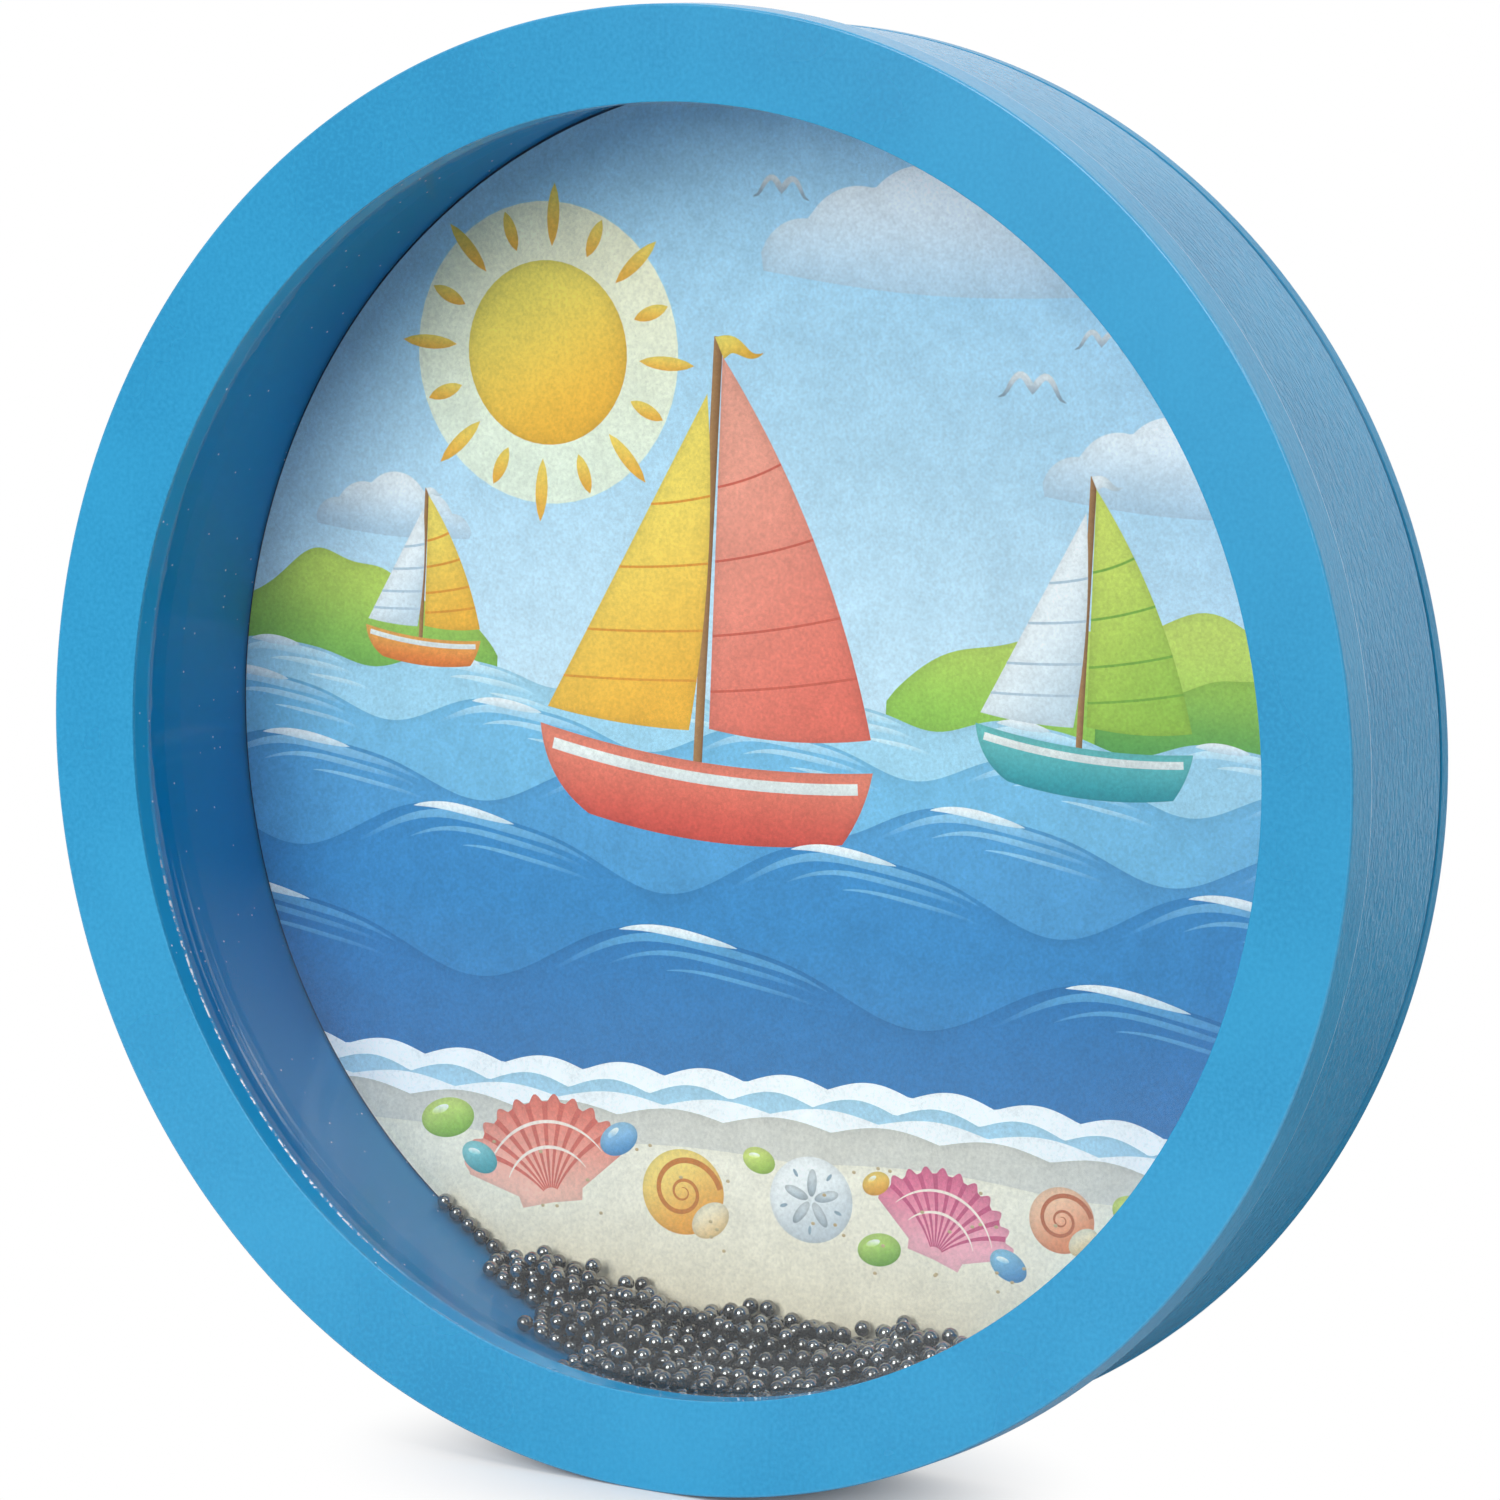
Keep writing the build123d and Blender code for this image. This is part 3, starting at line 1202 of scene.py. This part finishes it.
        top = [(u, surface(u)) for u in np.linspace(-self.wide, self.wide, 180)]
        self.fill_below(top, Wash(light, deep, edge=0.12, edge_mm=1.0))
        first = math.floor(-self.wide / length) - 1
        sink = 0.55 + 0.11 * (0.35 * height)
        for number in range(first, -first + 1):
            peak = length * (0.25 - shift / (2 * math.pi) + number)
            for drop, reach, half in ((1.9, 0.36, 0.5), (4.6, 0.27, 0.42 * 0.7), (7.6, 0.2, 0.36 * 0.5)):
                path = []
                for x in np.linspace(-reach, reach * 0.8, 26):
                    u = peak + length * x + 1.5 * drop
                    path.append((u, surface(u - 0.8 * drop) - drop * sink))
                self.draw(stroke(path, taper(half + 0.1)), Wash(crest, light, edge=0.0))
            foam = [(peak + length * x, surface(peak + length * x) - 0.25) for x in np.linspace(-0.15, 0.12, 22)]
            self.draw(stroke(foam, taper(0.62)), Wash("#FAFDFE", "#D5E8F2", edge=0.08))

    def sail(self, corners: tuple[Point, Point, Point], belly: float, wash: Wash, seam: str) -> None:
        """A three-cornered sail that bellies out, with sewn seams across it.

        Args:
            corners: its tack, head and clew.
            belly: how far it bellies out.
            wash: its colours.
            seam: colour of the seams.
        """
        tack, head, clew = corners
        luff, leech = bent(tack, head, 0.0, 20), bent(head, clew, belly, 20)
        self.draw(luff + leech + bent(clew, tack, 0.35 * belly, 14), wash)
        for share in (0.3, 0.52, 0.72, 0.88):
            a, b = luff[round((1 - share) * 19)], leech[round(share * 19)]
            self.draw(stroke(bent(a, b, -0.12 * belly, 14) + [b], 0.17), Wash.even(seam))

    def boat(self, u: float, v: float, size: float, main: Wash, jib: Wash, hull: Wash, seams: tuple[str, str]) -> None:
        """A small sailing boat.

        Args:
            u: middle of its deck, to the right.
            v: height of its deck.
            size: length of its hull.
            main: wash of the mainsail.
            jib: wash of the foresail.
            hull: wash of the hull.
            seams: colours of the two sails' seams.
        """

        def at(x: float, y: float) -> Point:
            """A place on the boat, in shares of its length."""
            return u + x * size, v + y * size

        bow, stern, heel, forefoot = at(-0.52, 0.075), at(0.48, 0.045), at(0.40, -0.15), at(-0.36, -0.15)
        deck = bent(bow, stern, -0.04 * size, 24)
        under = bent(stern, heel, 0.012 * size, 8) + bent(heel, forefoot, 0.035 * size, 24)
        mast = [at(-0.04, 0), at(-0.034, 1.13)]
        self.draw(stroke(mast, 0.011 * size + 0.12), Wash("#B98A5A", "#8A5F3A", 0, 0.1))
        self.sail((at(-0.01, 0.11), at(-0.02, 1.08), at(0.47, 0.13)), 0.055 * size, main, seams[0])
        self.sail((at(-0.50, 0.12), at(-0.06, 0.98), at(-0.07, 0.10)), 0.03 * size, jib, seams[1])
        flag = [at(-0.03 + 0.13 * t, 1.1 + 0.012 * math.sin(6 * t)) for t in np.linspace(0, 1, 14)]
        self.draw(stroke(flag, lambda share: 0.03 * size * (1 - share) + 0.05), jib)
        self.draw(deck + under + bent(forefoot, bow, 0.035 * size, 12), hull)
        band = [(x, y - 0.042 * size) for x, y in deck[1:]]
        self.draw(stroke(band, 0.013 * size + 0.1), Wash("#FBFBF6", "#E2E6E4", edge=0.08))

    def sea(self) -> None:
        """Swells from the horizon to the beach, with the boats between them."""
        coral = Wash("#F7A892", "#E8705F", -50, 0.18, 0.9)
        yellow = Wash("#FCE26A", "#F6B63F", -60, 0.18, 0.9)
        lime = Wash("#DCE66A", "#9CC64C", -60, 0.18, 0.9)
        white = Wash("#FDFEFE", "#CFDFE9", -40, 0.16, 0.9)
        orange = Wash("#F9B45C", "#EC7F3C", -90, 0.2, 0.8)
        red = Wash("#F08A72", "#D9564B", -90, 0.2, 0.8)
        teal = Wash("#6FC6C4", "#2E9AA6", -90, 0.2, 0.8)
        self.swell(4.0, 1.3, 30, 0.4, "#A6D6EC", "#6FB7DD", "#D3ECF6")
        self.boat(-60, 7.0, 19, yellow, white, orange, ("#E59A36", "#B9CBD8"))
        self.swell(-2.0, 2.3, 42, 2.1, "#79BDE2", "#4A9CCF", "#B5DCF0")
        self.boat(45, 2.0, 33, lime, white, teal, ("#7FAF42", "#B9CBD8"))
        self.swell(-10.5, 3.2, 54, 4.4, "#559FD2", "#2E80BC", "#8FC6E6")
        self.boat(-13, -6.5, 53, coral, yellow, red, ("#D2604F", "#E59A36"))
        self.swell(-19.0, 4.2, 61, 0.6, "#3D8CC6", "#22699F", "#74B4DC")
        self.swell(-33.5, 4.6, 70, 3.0, "#2F7CB8", "#1C5C94", "#5FA5D3")

    def beach(self) -> None:
        """Foam, wet sand and dry sand."""
        for level, height, reach, light, deep, edge in (
            (-49.0, 1.5, 13.0, "#FCFEFF", "#DCEBF3", 0.06),
            (-51.6, 1.6, 13.0, "#A9D3E8", "#C9DCE3", 0.10),
            (-53.2, 1.3, 17.0, "#FBFDFE", "#E6EFF2", 0.06),
            (-55.0, 1.4, 17.0, "#D6D2C8", "#E9E2D0", 0.14),
            (-60.0, 1.0, 41.0, "#F3ECDA", "#E2D3B6", 0.06),
        ):
            top = []
            for u in np.linspace(-self.wide, self.wide, 260):
                lobe = abs(math.sin(math.pi * u / reach + level)) - 0.5
                top.append((u, level + height * lobe + 1.8 * math.sin(u / 31.0 + 0.6)))
            self.fill_below(top, Wash(light, deep, edge=edge, edge_mm=0.8))

    def scallop(self, u: float, v: float, size: float, tilt: float, wash: Wash, rib: str) -> None:
        """A fan shell with ribs and growth bands.

        Args:
            u: middle, to the right.
            v: middle, upwards.
            size: length of its middle rib.
            tilt: how far it leans to the left, in degrees.
            wash: its colours.
            rib: colour of the ribs.
        """
        c, s = math.cos(math.radians(tilt)), math.sin(math.radians(tilt))

        def place(angle: float, reach: float) -> Point:
            """A place on the shell, from the angle and the reach out of its hinge."""
            a, b = reach * size * math.sin(angle), reach * size * math.cos(angle) - 0.45 * size
            return u + a * c - b * s, v + a * s + b * c

        spread = math.radians(68)
        rim = [place(a, 0.96 + 0.045 * math.cos(11 * a * math.pi / spread)) for a in np.linspace(-spread, spread, 90)]
        ears = ((78, 0.36), (96, 0.33), (180, 0.02), (-96, 0.33), (-78, 0.36))
        self.draw(rim + [place(math.radians(angle), reach) for angle, reach in ears], wash)
        for angle in np.linspace(-spread, spread, 12)[1:-1]:
            line = [place(angle * (0.6 + 0.4 * r), r) for r in np.linspace(0.12, 0.93, 14)]
            self.draw(stroke(line, lambda share: 0.008 * size + 0.022 * size * share), Wash.even(rib))
        for reach in (0.5, 0.74):
            arc = [place(a, reach) for a in np.linspace(-0.86 * spread, 0.86 * spread, 40)]
            self.draw(stroke(arc, taper(0.014 * size)), Wash.even("#FCE7DA"))

    def snail(self, u: float, v: float, size: float, wash: Wash, line: str) -> None:
        """A coiled shell with its opening at the lower right.

        Args:
            u: middle, to the right.
            v: middle, upwards.
            size: its width.
            wash: its colours.
            line: colour of the coil.
        """
        body = []
        for step in range(64):
            angle = 2 * math.pi * step / 64
            reach = size * (0.52 + 0.045 * math.sin(angle - 0.6))
            body.append((u + reach * math.cos(angle), v + 0.92 * reach * math.sin(angle)))
        self.draw(body, wash)
        mouth = ring_of(u + 0.34 * size, v - 0.24 * size, 0.26 * size, 0.18 * size, 38)
        self.draw(mouth, Wash("#FBEFD2", "#E9C68C", -60, 0.25))
        coil = []
        for angle in np.linspace(0.2, 4.6 * math.pi, 90):
            reach = 0.5 * size * math.exp(-0.155 * angle)
            coil.append((u - 0.03 * size + reach * math.cos(angle), v + 0.03 * size + 0.92 * reach * math.sin(angle)))
        self.draw(stroke(coil, lambda share: 0.03 * size * (1 - share) + 0.06), Wash.even(line))

    def sand_dollar(self, u: float, v: float, size: float) -> None:
        """A round white test with five petals and five slits.

        Args:
            u: middle, to the right.
            v: middle, upwards.
            size: its width.
        """
        self.draw(ring_of(u, v, 0.52 * size, 0.48 * size), Wash("#FDFDFB", "#CBD3D8", -60, 0.2, 0.8))
        petal = Wash("#E3E8EA", "#B4C0C8", edge=0.35, edge_mm=0.4)
        slit = Wash.even("#8FA3B0")
        for number in range(5):
            for turn, out, up, wide, high, count, wash in (
                (90, 0.2, 0.19, 0.155, 0.06, 26, petal),
                (126, 0.36, 0.34, 0.05, 0.02, 16, slit),
            ):
                turn = turn + 72 * number
                a, b = math.cos(math.radians(turn)), math.sin(math.radians(turn))
                leaf = ring_of(u + out * size * a, v + up * size * b, wide * size, high * size, turn, count)
                self.draw(leaf, wash)

    def pebble(self, u: float, v: float, wide: float, high: float, turn: float, light: str, deep: str) -> None:
        """A smooth pebble of sea glass with one lit patch.

        Args:
            u: middle, to the right.
            v: middle, upwards.
            wide: half of its width.
            high: half of its height.
            turn: its tilt in degrees.
            light: its light colour.
            deep: its deep colour.
        """
        self.draw(ring_of(u, v, wide, high, turn, 36), Wash(light, deep, -70, 0.25, 0.6))
        patch = ring_of(u - 0.3 * wide, v + 0.35 * high, 0.34 * wide, 0.2 * high, turn + 12, 20)
        self.draw(patch, Wash("#F6FBF4", light, edge=0.0))

    def shells(self) -> None:
        """Shells and sea glass on the sand."""
        self.scallop(-37, -63, 15, 14, Wash("#FBC3B0", "#EC7D6C", 90, 0.2, 0.7), "#D9685A")
        self.snail(-14, -66, 12.5, Wash("#FBDD7C", "#F0A33F", -60, 0.2, 0.8), "#C9782E")
        self.sand_dollar(6, -64, 12.5)
        self.scallop(27, -64, 12.5, -16, Wash("#F9B7C2", "#E46E92", 90, 0.2, 0.7), "#C9557C")
        self.snail(45, -62, 9.5, Wash("#F9C9A6", "#EA8A5C", -60, 0.2, 0.8), "#BF6540")
        for pebble in (
            (-53, -60, 4.4, 2.8, 15, "#CFE27A", "#86B84A"),
            (-47.5, -65, 3.0, 2.1, -20, "#8FD3D4", "#3FA3AE"),
            (-25, -59.5, 3.2, 2.2, 30, "#9CCBE8", "#4C93C9"),
            (-2.5, -59.6, 2.6, 1.8, -12, "#DDE97F", "#9FC24E"),
            (17, -69.5, 3.4, 2.3, 10, "#C2DF77", "#7AB04C"),
            (16, -60.4, 2.2, 1.6, 25, "#F8D36A", "#EAA23B"),
            (37, -69, 3.0, 2.0, -24, "#8FCBE6", "#3F8EC4"),
            (56, -59.6, 3.8, 2.5, -18, "#D8E679", "#93BF4B"),
        ):
            self.pebble(*pebble)
        chance = np.random.default_rng(self.seed)
        for _ in range(46):
            u, v = chance.uniform(-62, 62), chance.uniform(-73, -58)
            self.draw(ring_of(u, v, 0.32, 0.24, 0, 10), Wash("#C9B48C", "#B79E74", edge=0.0))

    def triangles(self) -> tuple[np.ndarray, list[tuple[int, ...]], list[int]]:
        """Cuts the sheet along every outline.

        Returns:
            Corner places, triangles, and the number of the topmost motif of each triangle.
        """
        places: list[Vector] = []
        shapes: list[list[int]] = []
        for outline, wash in self.motifs:
            start = len(places)
            places.extend(Vector(point) for point in outline)
            shapes.append(list(range(start, len(places))))
            if wash.edge > 0:
                places.extend(self._inset(outline))
        # A net of even triangles lets each wash grade smoothly.
        reach = self.sizes.print_radius
        rise = self.grid_mm * self.row_share
        rows, columns = int(reach / rise) + 1, int(reach / self.grid_mm) + 1
        for row in range(-rows, rows + 1):
            for column in range(-columns, columns + 1):
                u, v = (column + 0.5 * (row % 2)) * self.grid_mm, row * rise
                if math.hypot(u, v) < reach - self.rim_share * self.grid_mm:
                    places.append(Vector((u, v)))
        corners, _, faces, _, _, owners = delaunay_2d_cdt(places, [], shapes, 1, self.weld_mm, True)
        kept, tops = [], []
        for face, inside in zip(faces, owners):
            if 0 in inside:
                kept.append(tuple(face))
                tops.append(max(inside))
        return np.array([tuple(corner) for corner in corners]), kept, tops

    def _inset(self, outline: Outline) -> list[Vector]:
        """Points a little way inside an outline, where gathered pigment has faded.

        Args:
            outline: the outline, counter-clockwise.

        Returns:
            One point for every other corner.
        """
        line = np.array(outline)
        way = np.roll(line, -1, axis=0) - np.roll(line, 1, axis=0)
        way /= np.maximum(np.linalg.norm(way, axis=1), 1e-9)[:, None]
        side = np.column_stack([-way[:, 1], way[:, 0]])
        return [Vector(point) for point in (line + side * self.inset_mm)[::2]]

    def build(self) -> None:
        """Draws the motifs, cuts the sheet and colours it."""
        for draw in (self.sky, self.hills, self.sea, self.beach, self.shells):
            draw()
        corners, faces, tops = self.triangles()
        front = self.sizes.print_front * MM
        mesh = bpy.data.meshes.new("seaside_print")
        mesh.from_pydata([(u * MM, front, v * MM) for u, v in corners], [], faces)
        mesh.attributes.new("pigment", "FLOAT_COLOR", "CORNER")
        mesh.attributes.new("motif", "INT", "FACE").data.foreach_set("value", tops)
        work = bmesh.new()
        work.from_mesh(mesh)
        loose = [vertex for vertex in work.verts if not vertex.link_faces]
        bmesh.ops.delete(work, geom=loose, context="VERTS")
        bmesh.ops.recalc_face_normals(work, faces=work.faces)
        if sum(face.normal.y * face.calc_area() for face in work.faces) > 0:
            bmesh.ops.reverse_faces(work, faces=work.faces)
        made = bmesh.ops.extrude_edge_only(work, edges=[edge for edge in work.edges if edge.is_boundary])
        behind = [item for item in made["geom"] if isinstance(item, bmesh.types.BMVert)]
        bmesh.ops.translate(work, verts=behind, vec=(0, self.sizes.back_seam * MM - front, 0))
        bmesh.ops.holes_fill(work, edges=[edge for edge in work.edges if edge.is_boundary], sides=0)
        work.to_mesh(mesh)
        work.free()
        self._colour(mesh)
        mesh.materials.append(WatercolourPaper().make())
        dress(new_object("seaside_print", mesh), Body.SHELL.value, "printed_paper", "print_sheet")

    @staticmethod
    def _read(items: bpy.types.bpy_prop_collection, name: str, kind: type, width: int = 1) -> np.ndarray:
        """Reads one property of every item.

        Args:
            items: the mesh's vertices, corners or faces.
            name: the property.
            kind: its number type.
            width: how many numbers each item has.

        Returns:
            The numbers, one row for each item.
        """
        values = np.empty(width * len(items), dtype=kind)
        items.foreach_get(name, values)
        return values if width == 1 else values.reshape(-1, width)

    def _colour(self, mesh: bpy.types.Mesh) -> None:
        """Fills the pigment attribute: each front corner by its motif, the rest bare card.

        Args:
            mesh: the finished sheet, whose motif attribute is used up.
        """
        vertices = self._read(mesh.loops, "vertex_index", np.int32)
        spots = self._read(mesh.vertices, "co", np.float32, 3)
        owner = self._read(mesh.attributes["motif"].data, "value", np.int32)
        owner[self._read(mesh.polygons, "normal", np.float32, 3)[:, 1] > -0.5] = -1
        by_corner = np.repeat(owner, self._read(mesh.polygons, "loop_total", np.int32))
        colours = np.ones((len(vertices), 4), dtype=np.float32)
        colours[:, :3] = linear(self.card)[:3]
        for number, (outline, wash) in enumerate(self.motifs):
            mine = np.flatnonzero(by_corner == number)
            if len(mine):
                points = spots[vertices[mine]][:, [0, 2]].astype(float) / MM
                colours[mine, :3] = wash.paint(points, np.array(outline))
        mesh.attributes["pigment"].data.foreach_set("color", colours.ravel())
        mesh.attributes.remove(mesh.attributes["motif"])


# Studio


@dataclass(frozen=True)
class Lamp:
    """A round soft box that looks at the drum: where it hangs, how large it is and its power in watts."""

    name: str
    way: Place
    distance: float
    size: float
    power: float

    def hang(self) -> None:
        """Adds the lamp to the scene."""
        data = bpy.data.lights.new(self.name, "AREA")
        data.shape = "DISK"
        data.size = self.size
        data.energy = self.power
        lamp = bpy.data.objects.new(self.name, data)
        way = Vector(self.way).normalized()
        lamp.location = way * self.distance
        lamp.rotation_euler = way.to_track_quat("Z", "Y").to_euler()
        bpy.context.scene.collection.objects.link(lamp)


@dataclass(frozen=True)
class Studio:
    """Floor, soft lamps in front, white surround behind, and the camera."""

    lamps: tuple[Lamp, ...] = (
        Lamp("key", (-0.17, -0.92, 0.35), 1.25, 0.86, 12.3),
        Lamp("glint", (0.61, -0.47, 0.64), 1.2, 0.22, 2.1),
    )
    bright_way: Place = (0.0, 0.6, 0.8)
    bright_span: Point = (-0.05, 0.75)
    room_levels: Point = (0.07, 1.18)
    floor_level: float = -0.1
    floor_radius: float = 4.0
    floor_grey: float = 0.82
    shadow_span: Point = (0.012, 0.055)
    # Way behind the drum in metres and grey of the floor there as the drum mirrors it, a painted shade: dark far in
    # front, pale close by, a painted shadow of the drum just behind it and white far behind it.
    floor_shade_greys: tuple[Point, ...] = (
        (-0.36, 0.1), (-0.16, 0.75), (-0.01, 0.65), (0.014, 0.08), (0.05, 0.06), (0.1, 0.35), (0.3, 0.95),
    )
    depth_span: Point = (-0.5, 0.7)
    depth_back: float = 0.8
    depth_right: float = -0.6
    lens_mm: float = 196.46
    sensor_mm: float = 36.0
    camera_place: Place = (0.54072, -0.95548, 0.14375)
    camera_right: Place = (0.86696, 0.49629, 0.04553)
    camera_up: Place = (-0.10410, 0.09097, 0.99040)

    def camera(self) -> None:
        """A long lens a little to the right of the drum and above it."""
        data = bpy.data.cameras.new("camera")
        data.sensor_fit = "HORIZONTAL"
        data.sensor_width = self.sensor_mm
        data.lens = self.lens_mm
        data.clip_start = 0.01
        camera = bpy.data.objects.new("camera", data)
        right, up = Vector(self.camera_right), Vector(self.camera_up)
        matrix = Matrix((right, up, right.cross(up))).transposed().to_4x4()
        matrix.translation = Vector(self.camera_place)
        camera.matrix_world = matrix
        bpy.context.scene.collection.objects.link(camera)
        bpy.context.scene.camera = camera

    def surround(self) -> None:
        """A world that is white behind and above the drum, dim in front of it, and white to the camera."""
        world = bpy.data.worlds.new("studio")
        world.use_nodes = True
        world.node_tree.nodes.clear()
        node = partial(add_node, world.node_tree)
        way = node("ShaderNodeTexCoord").outputs["Generated"]
        depth = node("ShaderNodeVectorMath", {0: way, 1: self.bright_way}, operation="DOT_PRODUCT")
        span = dict(zip(("From Min", "From Max", "To Min", "To Max"), self.bright_span + self.room_levels))
        room = node("ShaderNodeMapRange", {"Value": depth} | span, interpolation_type="SMOOTHSTEP")
        path = node("ShaderNodeLightPath").outputs
        rays = {0: path["Is Camera Ray"], 1: path["Is Transmission Ray"]}
        seen = node("ShaderNodeMath", rays, operation="MAXIMUM")
        level = node("ShaderNodeMath", {0: room, 1: seen}, operation="MAXIMUM")
        light = node("ShaderNodeBackground", {"Color": (1, 1, 1, 1), "Strength": level})
        node("ShaderNodeOutputWorld", {"Surface": light})
        bpy.context.scene.world = world

    def pale_floor(self) -> bpy.types.Material:
        """The floor's finish: to the camera it fades to white away from the drum, to the drum it carries bands of
        painted shade, with a painted shadow just behind the drum.

        Returns:
            The finished material.
        """
        material, node = new_material("pale_floor")
        place = node("ShaderNodeTexCoord").outputs["Object"]
        flat = node("ShaderNodeVectorMath", {0: place, 1: (1.0, 1.0, 0.0)}, operation="MULTIPLY")
        away = node("ShaderNodeVectorMath", {0: flat}, operation="LENGTH")
        near, far = self.shadow_span
        fade = {"Value": away, "From Min": near, "From Max": far}
        clear = node("ShaderNodeMapRange", fade, interpolation_type="SMOOTHSTEP")
        to_camera = node("ShaderNodeLightPath").outputs["Is Camera Ray"]
        seen = node("ShaderNodeMath", {0: clear, 1: to_camera}, operation="MULTIPLY")
        # On the right the painted shadow runs further back, where the side of the drum mirrors it.
        axes = node("ShaderNodeSeparateXYZ", {"Vector": place}).outputs
        right = node("ShaderNodeMath", {0: axes["X"], 1: 0.0}, operation="MAXIMUM")
        aside = node("ShaderNodeMath", {0: right, 1: self.depth_right}, operation="MULTIPLY")
        depth = node("ShaderNodeMath", {0: axes["Y"], 1: self.depth_back, 2: aside}, operation="MULTIPLY_ADD")
        low, high = self.depth_span
        along = node("ShaderNodeMapRange", {"Value": depth, "From Min": low, "From Max": high})
        painted_shade_ramp = node("ShaderNodeValToRGB", {"Fac": along})
        stops = painted_shade_ramp.color_ramp.elements
        places = [(way - low) / (high - low) for way, _ in self.floor_shade_greys]
        # A new ramp already has its first and last stop.
        for way in places[2:]:
            stops.new(way)
        for stop, way, (_, grey) in zip(stops, places, self.floor_shade_greys):
            stop.position = way
            stop.color = (grey, grey, grey, 1.0)
        plain = (self.floor_grey, self.floor_grey, self.floor_grey, 1.0)
        pale = node("ShaderNodeMix", {0: to_camera, 6: painted_shade_ramp, 7: plain}, data_type="RGBA")
        matte = node("ShaderNodeBsdfDiffuse", {"Color": pale})
        white = node("ShaderNodeEmission", {"Strength": 1.0})
        both = node("ShaderNodeMixShader", {0: seen, 1: matte, 2: white})
        node("ShaderNodeOutputMaterial", {"Surface": both})
        return material

    def floor(self) -> None:
        """A pale round floor under the drum."""
        work = bmesh.new()
        bmesh.ops.create_circle(work, cap_ends=True, segments=96, radius=self.floor_radius)
        bmesh.ops.translate(work, verts=work.verts, vec=(0, 0, self.floor_level))
        mesh = bpy.data.meshes.new("floor")
        work.to_mesh(mesh)
        work.free()
        mesh.materials.append(self.pale_floor())
        new_object("floor", mesh)

    def build(self) -> None:
        """Sets the view, the light and the floor."""
        bpy.context.scene.view_settings.view_transform = "Standard"
        self.camera()
        for lamp in self.lamps:
            lamp.hang()
        self.surround()
        self.floor()


def main() -> None:
    """Builds the drum round its CAD frame."""
    logging.basicConfig(level=logging.INFO, format="%(name)s: %(message)s")
    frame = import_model()
    sizes = DrumSizes.from_frame(frame["nodes"])
    Studio().build()
    LacqueredShell(sizes).build()
    Window(sizes, frame["nodes"]).build()
    SeasidePrint(sizes).build()
    BallHeaps(frame["nodes"]).build()
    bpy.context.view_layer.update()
    LOG.info("sizes written")


if __name__ == "__main__":
    main()
